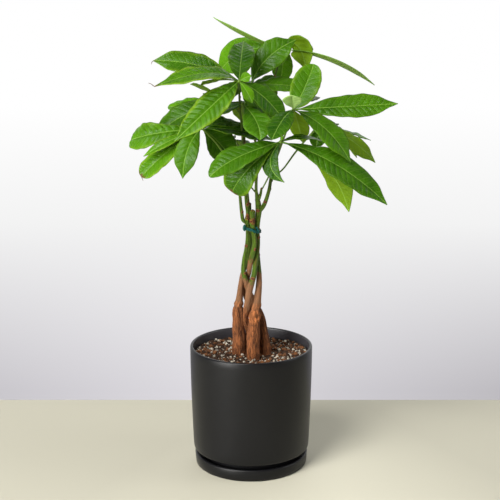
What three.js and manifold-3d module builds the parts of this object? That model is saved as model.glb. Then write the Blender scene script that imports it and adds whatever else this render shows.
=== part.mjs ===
// Potted money tree: five seedlings braided into one trunk and tied, palmate leaves,
// a matte black pot and its saucer. Millimetres, +Z up, -Y is the front.
// The origin is the centre of the saucer's underside.
import * as THREE from "three";
import { mergeVertices } from "three/addons/utils/BufferGeometryUtils.js";
import Module from "manifold-3d";

const wasm = await Module();
wasm.setup();

// ---------- driving dimensions ----------
const CLEARANCE = 0.3; // gap kept between pieces that touch on the real thing
const ROUND_SEGMENTS = 48;

const SAUCER_FOOT_RADIUS = 70;
const SAUCER_RIM_RADIUS = 71;
const SAUCER_WELL_RADIUS = 67.2;
const SAUCER_HEIGHT = 15;
const SAUCER_FLOOR = 4.5;

const POT_TOP = 153.5;
const POT_BOTTOM = 21;
const POT_FLOOR = 27;
const POT_RIM_RADIUS = 76;
const POT_BASE_RADIUS = 72.6;
const POT_WALL = 3.8;
const FOOT_RING_OUTER = 62;
const FOOT_RING_INNER = 57;
const DRAIN_RADIUS = 6;

const SOIL_TOP = 140.5;
const SOIL_RELIEF = 1.1;
const SOIL_HEAP = 2; // rise of the soil at its left and right
const SOIL_RINGS = 7;
const SOIL_SEGMENTS = 36;

const TIE_HEIGHT = 301; // where the tie crosses the middle of the bundle
const TIE_SLOPE = -0.4; // it sits lower on the right
const TIE_RADIUS = 1;
const TIE_SPACING = 1.8; // between its two turns, which lie together as one band

const BLADE_THICKNESS = 0.8;
const BLADE_CELLS = 2; // cells across a blade, one each side of its midrib
const HUB_RADIUS = 2.2;
const PETIOLE_RADIUS = 1.0;
const PETIOLE_SIDES = 6;
const SEAM_TOLERANCE = 0.05; // slivers smaller than this are cleaned from fused seams

// ---------- materials ----------
const finish = (color, roughness) => new THREE.MeshStandardMaterial({ color, roughness, metalness: 0 });
const blackCeramic = finish("#2e2c2b", 0.55);
const pottingMix = finish("#4a3426", 0.95);
const bark = finish("#8a5a34", 0.85);
const leafGreen = finish("#3f8a1c", 0.4);
const tealPlastic = finish("#0f7c78", 0.5);

// ---------- solids ----------
// A closed mesh from vertices and faces.
function meshFrom(points, faces) {
  const geometry = new THREE.BufferGeometry();
  geometry.setAttribute("position", new THREE.Float32BufferAttribute(points.flatMap((p) => p.toArray()), 3));
  geometry.setIndex(faces.flat());
  return geometry;
}

function solidOf(geometry) {
  const bare = geometry.clone();
  bare.deleteAttribute("normal");
  bare.deleteAttribute("uv");
  const merged = mergeVertices(bare, 1e-4);
  const mesh = new wasm.Mesh({
    numProp: 3,
    vertProperties: new Float32Array(merged.attributes.position.array),
    triVerts: new Uint32Array(merged.index.array),
  });
  return new wasm.Manifold(mesh);
}

function geometryOf(solid) {
  const mesh = solid.getMesh();
  const geometry = new THREE.BufferGeometry();
  geometry.setAttribute("position", new THREE.BufferAttribute(new Float32Array(mesh.vertProperties), 3));
  geometry.setIndex(new THREE.BufferAttribute(new Uint32Array(mesh.triVerts), 1));
  return geometry;
}

// The largest connected body, so that no scrap of a cut is left beside it.
function mainBody(solid) {
  const bodies = solid.decompose();
  return bodies.reduce((best, body) => (body.volume() > best.volume() ? body : best));
}

function fuse(solids) {
  return solids.reduce((sum, next) => sum.add(next));
}

// A closed skin over rings of equal point count, capped by a fan at each end.
function skinOver(rings) {
  const count = rings[0].length;
  const points = rings.flat();
  const faces = [];
  for (let i = 0; i < rings.length - 1; i++) {
    for (let j = 0; j < count; j++) {
      const a = i * count + j;
      const b = i * count + ((j + 1) % count);
      faces.push([a, b, b + count], [a, b + count, a + count]);
    }
  }
  const centreOf = (ring) => ring.reduce((sum, p) => sum.add(p), new THREE.Vector3()).divideScalar(count);
  const first = points.push(centreOf(rings[0])) - 1;
  const last = points.push(centreOf(rings[rings.length - 1])) - 1;
  const end = (rings.length - 1) * count;
  for (let j = 0; j < count; j++) {
    const k = (j + 1) % count;
    faces.push([first, k, j], [last, end + j, end + k]);
  }
  return meshFrom(points, faces);
}

// ---------- round stems ----------
// A stem through stations [x, y, z, radius]. Its section has a few lobes, like ridged bark,
// which fade where the stem thins. grow makes it fatter and longer, to cut a clear seat for it.
function limb(stations, { sides = 8, steps = 2, lobes = 0, grow = 0 } = {}) {
  const centres = stations.map(([x, y, z]) => new THREE.Vector3(x, y, z));
  const path = new THREE.CatmullRomCurve3(centres, false, "centripetal");
  const spans = stations.length - 1;
  const total = spans * steps;
  const rings = [];
  let side = new THREE.Vector3(1, 0, 0);
  for (let i = 0; i <= total; i++) {
    const t = i / total;
    const span = Math.min(Math.floor(t * spans), spans - 1);
    const radius = THREE.MathUtils.lerp(stations[span][3], stations[span + 1][3], t * spans - span);
    const centre = path.getPoint(t);
    const along = path.getTangent(t);
    if (i === 0) centre.addScaledVector(along, -grow);
    if (i === total) centre.addScaledVector(along, grow);
    side = side.clone().addScaledVector(along, -side.dot(along)).normalize();
    const across = new THREE.Vector3().crossVectors(along, side);
    const ring = [];
    for (let j = 0; j < sides; j++) {
      const angle = (2 * Math.PI * j) / sides;
      const ridge = lobes * Math.min(radius / 8, 1) * Math.cos(3 * angle + 0.02 * centre.z);
      const reach = radius * (1 + ridge) + grow;
      const spoke = side.clone().multiplyScalar(Math.cos(angle)).addScaledVector(across, Math.sin(angle));
      ring.push(centre.clone().addScaledVector(spoke, reach));
    }
    rings.push(ring);
  }
  return skinOver(rings);
}

// ---------- braided stems ----------
// Stations are [x, y, z, radius]. Each seedling stands in the soil, thins, crosses the others
// in the braid and passes through the tie at about z = 300. Branches and pruned stubs are
// grown on, so they are one piece with their stem.
const STEMS = {
  stem_front: {
    main: [
      [2.4, -15, 100, 7.6], [2.4, -15, 138, 8.2], [2.6, -15, 160, 8], [3.6, -14.6, 182, 7.4],
      [4.8, -13.8, 199, 6.9], [6, -12.2, 206, 5.6], [7.6, -9.6, 216, 4.7], [9.2, -6.5, 228, 3.8],
      [9.8, -2, 242, 3.2], [8.8, 2.5, 256, 2.8], [7.6, 5.5, 272, 2.6], [6.8, 6.4, 300, 2.5],
      [7.4, 8.5, 322, 2.2], [6.2, 12, 346, 1.7], [6.8, 17, 372, 1.6], [9, 24, 404, 1.5], [16, 34, 441, 1.4],
      [28.5, 46, 480, 1.3], [35, 52, 502, 1.2],
    ],
    branches: [],
  },
  stem_left: {
    main: [
      [-15.5, 1, 100, 7.6], [-15.6, 1, 138, 8.6], [-15.2, 1, 160, 8.2], [-16, 0.5, 182, 7.1],
      [-16.4, 0, 198, 6.6], [-14.8, -0.5, 210, 4.5], [-13.9, -1, 219, 3.8], [-12.9, -1.2, 230, 3.1],
      [-10.8, 0.5, 243, 2.7], [-6.2, 3.6, 256, 2.7], [-2.4, 5.2, 272, 2.6], [-0.4, 4.4, 296, 2.5],
      [-3.2, 6.5, 325, 2.1], [-5.6, 9, 350, 1.9], [-7.5, 14, 375, 1.7], [-8.5, 24, 405, 1.5],
      [-6, 36, 432, 1.3],
    ],
    branches: [
      [[-3, 6.2, 316, 1.8], [-1.8, 3.8, 325, 2], [-2, 2.8, 333, 1.8]],
    ],
  },
  stem_back_left: {
    main: [
      [-9, 18, 100, 7], [-9, 18, 138, 7.2], [-6, 15.5, 150, 6], [-2.6, 9, 160, 5], [-2.6, 2, 170, 4.3],
      [-4.9, -5, 181, 3.9], [-6.9, -12.6, 193, 3.6], [-5.6, -15.8, 204, 4.3], [-4.1, -16, 214, 4],
      [-2.3, -14, 226, 4], [-0.2, -12.8, 234, 3.8], [2.5, -11.4, 242, 3.3], [4, -9.8, 250, 3.1],
      [5, -7.6, 259, 3], [7, -4.2, 268, 2.6], [8.3, -0.8, 285, 2.6], [7.4, -0.4, 300, 2.8],
      [8, -1, 312, 3.3], [9.2, -1.2, 323, 3.6], [8.7, -0.8, 333, 3], [7.2, 0, 341, 2.2], [5.8, 1, 350, 1.7],
      [6.6, 3, 363, 1.5], [7.4, 4.4, 376, 1.4], [5.2, 8, 406, 1.3], [2.4, 12, 444, 1.2],
      [0.4, 14.4, 464, 1.1],
    ],
    branches: [
      [
        [9, -1.2, 321, 2], [13.6, -2.2, 327.5, 2.7], [16.8, -4, 334, 2.5], [21.4, -8, 350, 2.1],
        [23.3, -12, 363, 2], [25.6, -20, 379, 1.9], [29.4, -33, 396, 1.8], [32.4, -43, 407, 1.7],
      ],
      [[8.4, 0, 335, 2], [11.4, 0, 344, 1.7], [12.6, 0, 352, 1.2]],
      [[5.8, 1, 345, 1.1], [1.6, 2.2, 349.6, 0.9], [-3, 4, 355, 0.9], [-6.6, 6.6, 361, 0.8]],
      [[22.6, -10, 359, 1.2], [25.8, -11, 363.5, 1.5]],
    ],
  },
  stem_right: {
    main: [
      [18, 1, 100, 7.2], [18, 1, 138, 7.6], [16.6, 2, 152, 7.4], [13.8, 3.4, 172, 6.4], [10.6, 4, 190, 5.3],
      [4.4, 3.2, 204, 4.5], [-1.2, 0.8, 217, 3.8], [-4.6, -3, 228, 3.4], [-7, -6.2, 239, 3.1],
      [-9.6, -8.4, 250, 2.9], [-9.2, -8.2, 258, 2.7], [-8.2, -7.6, 266, 2.6], [-6.4, -6.6, 275, 2.4],
      [-4.6, -5.4, 288, 2.3], [-4.4, -5.2, 300, 2.3], [-5, -5.8, 311, 2.5], [-4.5, -6, 322, 2],
      [-5.9, -6, 334, 1.9], [-6.7, -6, 346, 1.8], [-8, -7, 368, 1.6], [-9.4, -8, 392, 1.5],
      [-10.1, -9, 407, 1.4], [-11.2, -12, 427, 1.3], [-12.6, -17, 442, 1.3], [-13.5, -25, 459, 1.3],
      [-13.8, -37, 474, 1.2],
    ],
    branches: [
      [
        [-5.2, -5.8, 309, 1.8], [-9.6, -6.4, 312.5, 2.3], [-11.4, -8, 322, 2.1], [-13.2, -9.8, 340, 1.8],
        [-14.5, -10.6, 352, 1.5],
      ],
      [[-4.4, -6, 312, 1.2], [-3.6, -8.6, 317, 1.4]],
    ],
  },
  stem_back_right: {
    main: [
      [10.5, 18.5, 100, 7], [10.5, 18.5, 138, 7.2], [9.6, 17, 160, 6.4], [7, 14, 185, 5],
      [-2.6, 12.8, 205, 4.4], [-7.4, 9.8, 218, 3.8], [-6.4, 5.4, 230, 3.4], [-3.8, -0.6, 242, 3.1],
      [-2.6, -5.6, 249, 3.3], [-1.5, -8.2, 257, 3], [0.3, -8.6, 265, 3.3], [2.3, -8.3, 274, 3.1],
      [4.2, -7.2, 286, 3], [2.8, -5.8, 297, 3], [1.4, -5.4, 307, 3.3], [1.2, -5.2, 317, 3.7],
      [1.6, -5, 326, 3.6],
    ],
    branches: [
      [[1.6, -5, 309, 1.4], [3.2, -8.6, 312, 1.5]],
    ],
  },
};
const BASE_SIDES = 10;
const BRANCH_SIDES = 6;
const BARK_LOBES = 0.07;

function stemSolid({ main, branches }, grow = 0) {
  const trunk = solidOf(limb(main, { sides: BASE_SIDES, steps: 1, lobes: BARK_LOBES, grow }));
  const branch = (stations) => solidOf(limb(stations, { sides: BRANCH_SIDES, steps: 1, grow }));
  const offshoots = branches.map(branch);
  return fuse([trunk, ...offshoots]);
}

// ---------- leaves ----------
// A leaf is one petiole from a stem to a hub, with leaflets fanned round the hub.
// petiole: stations [x, y, z] from inside the stem to the hub.
// A leaflet: tip and bow are offsets in mm, the first from the hub to the tip, the second of the
// midrib's middle from the straight line; width is the blade's widest; face is where its upper
// side looks; fold is how far the halves rise from the midrib, in degrees; wave is the edge's
// rise and fall in mm; point is how sharply the tip is drawn out, 1 unless given; base is how
// slowly the blade widens from the hub.
const LEAVES = {
  leaf_front: {
    stem: "stem_right",
    petiole: [[-13.5, -33, 470], [-13.8, -41, 477], [-14, -45, 483]],
    leaflets: [
      { tip: [-99, 12, 22], bow: [0, 0, 7], width: 32, face: [0.1, -0.8, 0.6], fold: 3, wave: 1.5 },
      { tip: [-95, -22, -4], bow: [11, -4, 12.5], width: 33, face: [0, -0.42, 0.9], fold: 3, wave: 1 },
      {
        tip: [-72, -34, -64], bow: [3, -4, 4], width: 34, face: [-0.3, -0.9, 0.4], fold: 3, wave: 1,
        base: 0.8,
      },
      { tip: [5, 74, 41], bow: [0, 0, 4], width: 31, face: [0, -0.5, 0.85], fold: 6, wave: 1, base: 0.85 },
      { tip: [54, 8, -50], bow: [3, 2, 5], width: 28, face: [0.35, -0.85, 0.4], fold: 3, wave: 0.5 },
      { tip: [22, 34, -34], bow: [0, 0, 2], width: 22, face: [0.2, -0.8, 0.3], fold: 3, wave: 0.5 },
      { tip: [-46, 30, -8], bow: [0, 0, 4], width: 24, face: [0, 0.1, 1], fold: 4, wave: 0.5 },
      { tip: [14, 2, 6], bow: [0, 0, 1], width: 12, face: [0.2, -0.9, 0.4], fold: 3, wave: 0 },
      { tip: [15, -1, -25], bow: [2, -2, 0], width: 14, face: [0.3, -0.9, 0.3], fold: 4, wave: 0.5 },
    ],
  },
  leaf_under_front: {
    stem: "stem_right",
    petiole: [[-12.4, -16.5, 441], [-10, -21, 449], [-10, -24, 455]],
    leaflets: [
      { tip: [20, -46, -36], bow: [6, -8, 1], width: 34, face: [0.1, -0.85, 0.5], fold: 3, wave: 1 },
      { tip: [-30, 20, -12], bow: [0, -4, 0], width: 18, face: [-0.2, -0.5, 0.8], fold: 4, wave: 0.5 },
      { tip: [40, 22, -26], bow: [0, 0, 2], width: 26, face: [0.2, -0.5, 0.8], fold: 4, wave: 0.5 },
    ],
  },
  leaf_left: {
    stem: "stem_right",
    petiole: [[-14.3, -10.5, 350], [-15.2, -11, 356], [-23, -13, 378], [-39, -17, 405], [-58, -20, 426]],
    leaflets: [
      {
        tip: [-85, 14, -16], bow: [-9, -14, 3], width: 33, face: [-0.15, -0.8, 0.55], fold: 2,
        wave: 1, point: 0,
      },
      { tip: [-67, -22, -30], bow: [-3, -10, 3], width: 13, face: [-0.35, -0.7, 0.6], fold: 4, wave: 0.3 },
      {
        tip: [-70, -24, -54], bow: [-5, -4, 1], width: 29, face: [-0.5, -0.75, 0.45], fold: 4,
        wave: 1, point: 0.1,
      },
      { tip: [-22, -22, -56], bow: [-4, -14, 8], width: 28, face: [-0.2, -0.95, 0.2], fold: 4, wave: 0.5 },
      { tip: [36, 16, -40], bow: [1, 2, 2], width: 38, face: [0.2, -0.8, 0.3], fold: 4, wave: 0.5 },
      { tip: [58, 45, -9], bow: [0, -1, 8], width: 31, face: [0, -0.35, 0.95], fold: 5, wave: 1 },
      { tip: [83, 14, -16], bow: [0, 0, 4.5], width: 33, face: [0, -0.35, 0.9], fold: 5, wave: 1 },
    ],
  },
  leaf_back_left: {
    stem: "stem_right",
    petiole: [[-12.6, -17, 442], [-22, -4, 452], [-33, 15, 456]],
    leaflets: [
      { tip: [-86, -8, -44], bow: [0, 0, 6], width: 34, face: [-0.3, -0.75, 0.6], fold: 3, wave: 1 },
      {
        tip: [-69, 30, -12], bow: [0, 0, -1], width: 24, face: [0, -0.55, 0.8], fold: 4, wave: 1,
        point: 0.2,
      },
      { tip: [-42, 46, 14], bow: [0, 0, 2], width: 19, face: [0, 0.65, 0.75], fold: 4, wave: 0.3 },
      { tip: [-16, 84, -14], bow: [0, 0, 10], width: 34, face: [0, -0.1, 1], fold: 5, wave: 1 },
      { tip: [-58, 66, -32], bow: [0, 0, 8], width: 32, face: [-0.3, 0, 0.9], fold: 5, wave: 1 },
    ],
  },
  leaf_right_front: {
    stem: "stem_back_left",
    petiole: [[31.4, -40, 404], [33.2, -46, 410], [34, -50, 414]],
    leaflets: [
      {
        tip: [-81, -28, -36], bow: [-9, -3, 2.5], width: 33, face: [-0.2, -0.7, 0.65], fold: 3,
        wave: 1.5, point: 0.4, base: 0.8,
      },
      {
        tip: [-56, 6, -60], bow: [-9, -10, 0], width: 36, face: [-0.3, -0.9, 0.1], fold: 3, wave: 1,
        point: 0, base: 1.3,
      },
      {
        tip: [4, -16, -44.5], bow: [-14, 0, -2], width: 20, face: [-0.3, -0.8, 0.2], fold: 3,
        wave: 0.5, base: 0.8,
      },
      { tip: [123, -14, -71], bow: [3, -2, 10], width: 35, face: [0.25, -0.8, 0.6], fold: 3, wave: 1.5 },
      {
        tip: [82, 20, -86], bow: [12, 4, 12], width: 31, face: [0.45, 0.75, 0.3], fold: 3, wave: 1,
        base: 2.3,
      },
      { tip: [50, 24, -3], bow: [0, 0, 5], width: 22, face: [0, -0.15, 1], fold: 4, wave: 0.5 },
      { tip: [2, -3, 9], bow: [0, 0, 0], width: 3.5, face: [0, -1, 0.2], fold: 3, wave: 0 },
    ],
  },
  leaf_right: {
    stem: "stem_back_left",
    petiole: [[12.8, 0, 349], [20.2, -1, 363.5], [27.4, -2, 380], [38, -20, 413], [49, -38, 450]],
    leaflets: [
      { tip: [121, 6, 6], bow: [0, 0, 0], width: 31, face: [0, -0.8, 0.6], fold: 3, wave: 1 },
      { tip: [65, -22, -58], bow: [4, -3, 8], width: 31, face: [0.35, -0.75, 0.55], fold: 3, wave: 1 },
      {
        tip: [-26, -58, -27], bow: [0, -3, 6], width: 28, face: [-0.2, -0.8, 0.6], fold: 3,
        wave: 0.5, point: 0.4,
      },
      { tip: [13, 42, -44], bow: [0, 2, 2], width: 24, face: [0.2, 0.8, 0.2], fold: 4, wave: 0.5 },
      {
        tip: [-4, -38, 20], bow: [0, 0, 1], width: 22, face: [0, -0.5, -0.8], fold: 6, wave: 0.5,
        point: 0.3,
      },
      {
        tip: [24, 25, 50], bow: [1, -2, -1], width: 33, face: [-0.1, -0.9, 0.35], fold: 8,
        wave: 0.5, point: 0.1, base: 0.6,
      },
      { tip: [33, 56, 8], bow: [0, 0, 5], width: 20, face: [0.1, -0.2, 1], fold: 5, wave: 0.5 },
    ],
  },
  leaf_middle: {
    stem: "stem_back_left",
    petiole: [[0.8, 13.8, 459], [0, 15, 468], [-0.5, 15.5, 474]],
    leaflets: [
      { tip: [54, 8, 52], bow: [-7, -6, 5], width: 34, face: [0.1, -0.8, 0.5], fold: 4, wave: 1 },
      { tip: [50, 26, -4], bow: [0, 0, 4], width: 24, face: [0, -0.5, 0.85], fold: 5, wave: 1 },
      { tip: [68, -8, -4], bow: [0, 0, 2], width: 30, face: [0, -0.5, 0.85], fold: 4, wave: 1 },
      { tip: [-24, 86, -26], bow: [0, 0, 10], width: 34, face: [0, 0, 1], fold: 5, wave: 1 },
      { tip: [24, 90, -36], bow: [0, 0, 10], width: 36, face: [0, 0, 1], fold: 5, wave: 1 },
    ],
  },
  leaf_top: {
    stem: "stem_front",
    petiole: [[33.6, 50.4, 497], [37, 54, 508], [39, 55, 513]],
    leaflets: [
      { tip: [-85, 5, 38], bow: [2, 0, -5], width: 20, face: [0.42, 0.27, 0.9], fold: 4, wave: 0 },
      {
        tip: [-77, 50, -28], bow: [-6, -6, 11], width: 40, face: [0.1, -0.9, 0.4], fold: 2, wave: 1,
        point: 0.3,
      },
      { tip: [112, -6, -43], bow: [2, -8, 9], width: 20, face: [0.33, 0.3, 0.9], fold: 3, wave: 0 },
      { tip: [29, -8, -27], bow: [3, -2, 18], width: 30, face: [0.2, 0.8, 0.4], fold: 3, wave: 0.5 },
      { tip: [-2, 44, -46], bow: [2, 8, 8], width: 26, face: [0, -0.9, 0.3], fold: 4, wave: 0.5, point: 0.3 },
      { tip: [34, 70, -14], bow: [0, 0, 10], width: 34, face: [0.1, 0, 1], fold: 5, wave: 1 },
      { tip: [-12, 84, -22], bow: [0, 0, 8], width: 36, face: [0, 0.1, 1], fold: 5, wave: 1 },
    ],
  },
  leaf_right_back: {
    stem: "stem_back_left",
    petiole: [
      [23.6, -11, 361.6], [30, -6, 368], [38.2, -2, 374.5], [53, 12, 392], [69, 30, 408], [85, 45, 422],
    ],
    leaflets: [
      { tip: [38, 26, -22], bow: [0, 0, 2], width: 22, face: [0, -0.4, 0.9], fold: 4, wave: 1 },
      { tip: [66, 34, -24], bow: [0, 0, 1], width: 22, face: [0.2, -0.1, 0.95], fold: 5, wave: 1 },
      { tip: [68, -8, -46], bow: [4, 0, 4], width: 26, face: [-0.35, 0.6, -0.65], fold: 4, wave: 1 },
      { tip: [50, 46, -48], bow: [0, 0, 6], width: 26, face: [0.6, 0.2, 0.7], fold: 4, wave: 1 },
      { tip: [-6, -12, -30], bow: [0, 0, 2], width: 20, face: [0, -0.9, 0.3], fold: 4, wave: 0.5 },
      { tip: [16, 84, -16], bow: [0, 0, 3], width: 34, face: [0, 0.1, 1], fold: 5, wave: 1 },
      { tip: [-34, 66, -2], bow: [0, 0, 8], width: 30, face: [0, 0.1, 1], fold: 5, wave: 1 },
    ],
  },
  leaf_back: {
    stem: "stem_left",
    petiole: [[-7, 32, 425], [-5, 44, 440], [-4, 58, 446]],
    leaflets: [
      { tip: [-52, 76, -30], bow: [0, 0, 10], width: 34, face: [-0.2, 0.2, 0.9], fold: 5, wave: 1 },
      { tip: [-6, 98, -38], bow: [0, 0, 12], width: 36, face: [0, 0.3, 0.9], fold: 5, wave: 1 },
      { tip: [40, 84, -40], bow: [0, 0, 10], width: 34, face: [0.2, 0.2, 0.9], fold: 5, wave: 1 },
      { tip: [-56, 34, -32], bow: [0, 0, 8], width: 28, face: [-0.2, -0.1, 0.9], fold: 5, wave: 1 },
      { tip: [56, 28, -28], bow: [0, 0, 8], width: 28, face: [0.2, -0.1, 0.9], fold: 5, wave: 1 },
    ],
  },
  leaf_low_back: {
    stem: "stem_left",
    petiole: [[-7.8, 17, 385], [-14, 30, 396], [-20, 46, 402]],
    leaflets: [
      { tip: [-28, 68, -30], bow: [0, 0, 10], width: 32, face: [-0.3, 0.2, 0.9], fold: 5, wave: 1 },
      { tip: [-20, 84, -46], bow: [0, 0, 12], width: 34, face: [0, 0.4, 0.9], fold: 5, wave: 1 },
      { tip: [26, 74, -44], bow: [0, 0, 10], width: 32, face: [0.2, 0.4, 0.9], fold: 5, wave: 1 },
      { tip: [44, 30, -34], bow: [0, 0, 8], width: 26, face: [0.2, -0.1, 0.9], fold: 5, wave: 1 },
    ],
  },
};

// Half the blade's width along the midrib, 0 at the hub and 1 at the tip: a narrow wedge
// at the base, slower to widen where base is large, then drawn out to a tip that is sharp
// where point is 1 and blunt where it is 0.
function outline(t, point, base) {
  const s = Math.max((t - STALK_SHARE) / (1 - STALK_SHARE), 0);
  const taper = 0.45 + 0.45 * point;
  const oval = (u) => Math.pow(u, base) * Math.pow(1 - u, taper);
  const drawnOut = 1 - 0.35 * point * THREE.MathUtils.smoothstep(t, 0.78, 1);
  return (drawnOut * oval(s)) / oval(base / (base + taper));
}

const STALK_SHARE = 0.04; // the part of the midrib that is a bare short stalk
const BASE_TAPER = 1.2; // how slowly most blades widen from the hub
const BASE_HALF = 0.9; // half width where the leaflet joins the hub
const TIP_HALF = 0.45;
const STATIONS = [0, 0.1, 0.25, 0.4, 0.55, 0.7, 0.86, 1];

function blade(hub, { tip, bow, width, face, fold, wave, point = 1, base = BASE_TAPER }) {
  const reach = new THREE.Vector3(...tip);
  const pull = new THREE.Vector3(...bow).multiplyScalar(2).addScaledVector(reach, 0.5);
  const midrib = new THREE.QuadraticBezierCurve3(hub, hub.clone().add(pull), hub.clone().add(reach));
  const facing = new THREE.Vector3(...face);
  const rise = Math.tan(THREE.MathUtils.degToRad(fold));
  const phase = 0.05 * (tip[0] - tip[2]);
  const middleOf = (t, q) => {
    const along = midrib.getTangent(t);
    const up = facing.clone().addScaledVector(along, -facing.dot(along)).normalize();
    const side = new THREE.Vector3().crossVectors(along, up);
    const least = THREE.MathUtils.lerp(BASE_HALF, TIP_HALF, t);
    const half = Math.max((width / 2) * outline(t, point, base), least);
    const edgeWave = wave * q * q * Math.min(half / 8, 1) * Math.sin(phase + 14 * t + 2 * q);
    const lift = half * Math.abs(q) * rise + edgeWave;
    return midrib.getPoint(t).addScaledVector(side, half * q).addScaledVector(up, lift);
  };
  const upper = [];
  const lower = [];
  for (const t of STATIONS) {
    for (let j = 0; j <= BLADE_CELLS; j++) {
      const q = (2 * j) / BLADE_CELLS - 1;
      const step = 0.01;
      const t0 = Math.max(t - step, 0);
      const t1 = Math.min(t + step, 1);
      const lengthwise = middleOf(t1, q).sub(middleOf(t0, q));
      const crosswise = middleOf(t, Math.min(q + step, 1)).sub(middleOf(t, Math.max(q - step, -1)));
      const normal = new THREE.Vector3().crossVectors(crosswise, lengthwise).normalize();
      const centre = middleOf(t, q);
      upper.push(centre.clone().addScaledVector(normal, BLADE_THICKNESS / 2));
      lower.push(centre.clone().addScaledVector(normal, -BLADE_THICKNESS / 2));
    }
  }
  const row = BLADE_CELLS + 1;
  const under = upper.length;
  const faces = [];
  for (let i = 0; i < STATIONS.length - 1; i++) {
    for (let j = 0; j < BLADE_CELLS; j++) {
      const a = i * row + j;
      const b = a + 1;
      const c = b + row;
      const d = a + row;
      faces.push([a, b, c], [a, c, d]);
      faces.push([under + a, under + c, under + b], [under + a, under + d, under + c]);
    }
    const left = i * row;
    const right = left + BLADE_CELLS;
    faces.push([left, left + row, under + left + row], [left, under + left + row, under + left]);
    faces.push([right, under + right, under + right + row], [right, under + right + row, right + row]);
  }
  const end = (STATIONS.length - 1) * row;
  for (let j = 0; j < BLADE_CELLS; j++) {
    faces.push([j, under + j, under + j + 1], [j, under + j + 1, j + 1]);
    faces.push([end + j, end + j + 1, under + end + j + 1], [end + j, under + end + j + 1, under + end + j]);
  }
  return meshFrom([...upper, ...lower], faces);
}

function leafSolid({ petiole, leaflets }, stemClearance) {
  const hub = new THREE.Vector3(...petiole[petiole.length - 1]);
  const stalk = petiole.map((point) => [...point, PETIOLE_RADIUS]);
  const ball = new THREE.IcosahedronGeometry(HUB_RADIUS, 0).translate(hub.x, hub.y, hub.z);
  const pieces = [solidOf(ball), solidOf(limb(stalk, { sides: PETIOLE_SIDES, steps: 1 }))];
  for (const leaflet of leaflets) pieces.push(solidOf(blade(hub, leaflet)));
  return mainBody(fuse(pieces).subtract(stemClearance)).simplify(SEAM_TOLERANCE);
}

// ---------- pot, saucer and soil ----------
const lathe = (profile) => {
  const points = profile.map(([radius, height]) => new THREE.Vector2(radius, height));
  return new THREE.LatheGeometry(points, ROUND_SEGMENTS).rotateX(Math.PI / 2);
};

function saucerGeometry() {
  return lathe([
    [0, 0], [SAUCER_FOOT_RADIUS - 1.5, 0], [SAUCER_FOOT_RADIUS, 1.5],
    [SAUCER_RIM_RADIUS, SAUCER_HEIGHT - 1.2],
    [SAUCER_RIM_RADIUS - 1, SAUCER_HEIGHT], [SAUCER_WELL_RADIUS + 1, SAUCER_HEIGHT],
    [SAUCER_WELL_RADIUS, SAUCER_HEIGHT - 1], [SAUCER_WELL_RADIUS - 2, SAUCER_FLOOR + 1.5],
    [SAUCER_WELL_RADIUS - 4, SAUCER_FLOOR], [0, SAUCER_FLOOR],
  ]);
}

// The outside of the wall swells gently towards the rim.
function potOutside(height) {
  const t = (height - POT_BOTTOM) / (POT_TOP - POT_BOTTOM);
  return POT_BASE_RADIUS + (POT_RIM_RADIUS - POT_BASE_RADIUS) * Math.sin((Math.PI / 2) * t);
}

function potGeometry() {
  const foot = SAUCER_FLOOR + CLEARANCE;
  const outside = [50, 95, POT_TOP - 2].map((height) => [potOutside(height), height]);
  return lathe([
    [DRAIN_RADIUS, POT_BOTTOM], [FOOT_RING_INNER, POT_BOTTOM], [FOOT_RING_INNER, foot],
    [FOOT_RING_OUTER, foot], [FOOT_RING_OUTER, POT_BOTTOM],
    [POT_BASE_RADIUS - 3, POT_BOTTOM], [POT_BASE_RADIUS - 0.9, POT_BOTTOM + 0.9],
    [POT_BASE_RADIUS, POT_BOTTOM + 3], ...outside,
    [POT_RIM_RADIUS - 1, POT_TOP], [POT_RIM_RADIUS - POT_WALL + 0.8, POT_TOP],
    [POT_RIM_RADIUS - POT_WALL, POT_TOP - 1.5],
    [potOutside(95) - POT_WALL, 95], [potOutside(35) - POT_WALL, 35],
    [POT_BASE_RADIUS - POT_WALL - 6, POT_FLOOR],
    [DRAIN_RADIUS, POT_FLOOR], [DRAIN_RADIUS, POT_BOTTOM],
  ]);
}

// Lumpy mix: low waves of three scales, heaped a little towards the left and right walls.
function soilHeight(x, y) {
  const coarse = Math.sin(0.11 * x + 1.3) * Math.cos(0.13 * y - 0.4);
  const middle = Math.sin(0.31 * x - 0.27 * y) * Math.cos(0.24 * x + 0.35 * y + 2);
  const fine = Math.sin(0.62 * x + 0.4 * y + 0.7) * Math.sin(0.55 * y - 0.45 * x);
  const heaped = SOIL_HEAP * THREE.MathUtils.smoothstep(Math.abs(x), 36, 64);
  return SOIL_TOP + heaped + SOIL_RELIEF * (0.8 * coarse + middle + 0.8 * fine);
}

function soilGeometry() {
  const wallAt = (height) => potOutside(height) - POT_WALL - CLEARANCE - 0.3;
  const ringAt = (radius, heightOf) => {
    const ring = [];
    for (let j = 0; j < SOIL_SEGMENTS; j++) {
      const angle = (2 * Math.PI * j) / SOIL_SEGMENTS;
      const x = radius * Math.cos(angle);
      const y = radius * Math.sin(angle);
      ring.push(new THREE.Vector3(x, y, heightOf(x, y)));
    }
    return ring;
  };
  const base = POT_FLOOR + CLEARANCE;
  const rings = [
    ringAt(POT_BASE_RADIUS - POT_WALL - 7, () => base),
    ringAt(wallAt(35), () => 36),
    ringAt(wallAt(95), () => 95),
  ];
  for (let i = SOIL_RINGS; i > 0; i--) {
    rings.push(ringAt((wallAt(SOIL_TOP) * i) / SOIL_RINGS, soilHeight));
  }
  return skinOver(rings);
}

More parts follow.
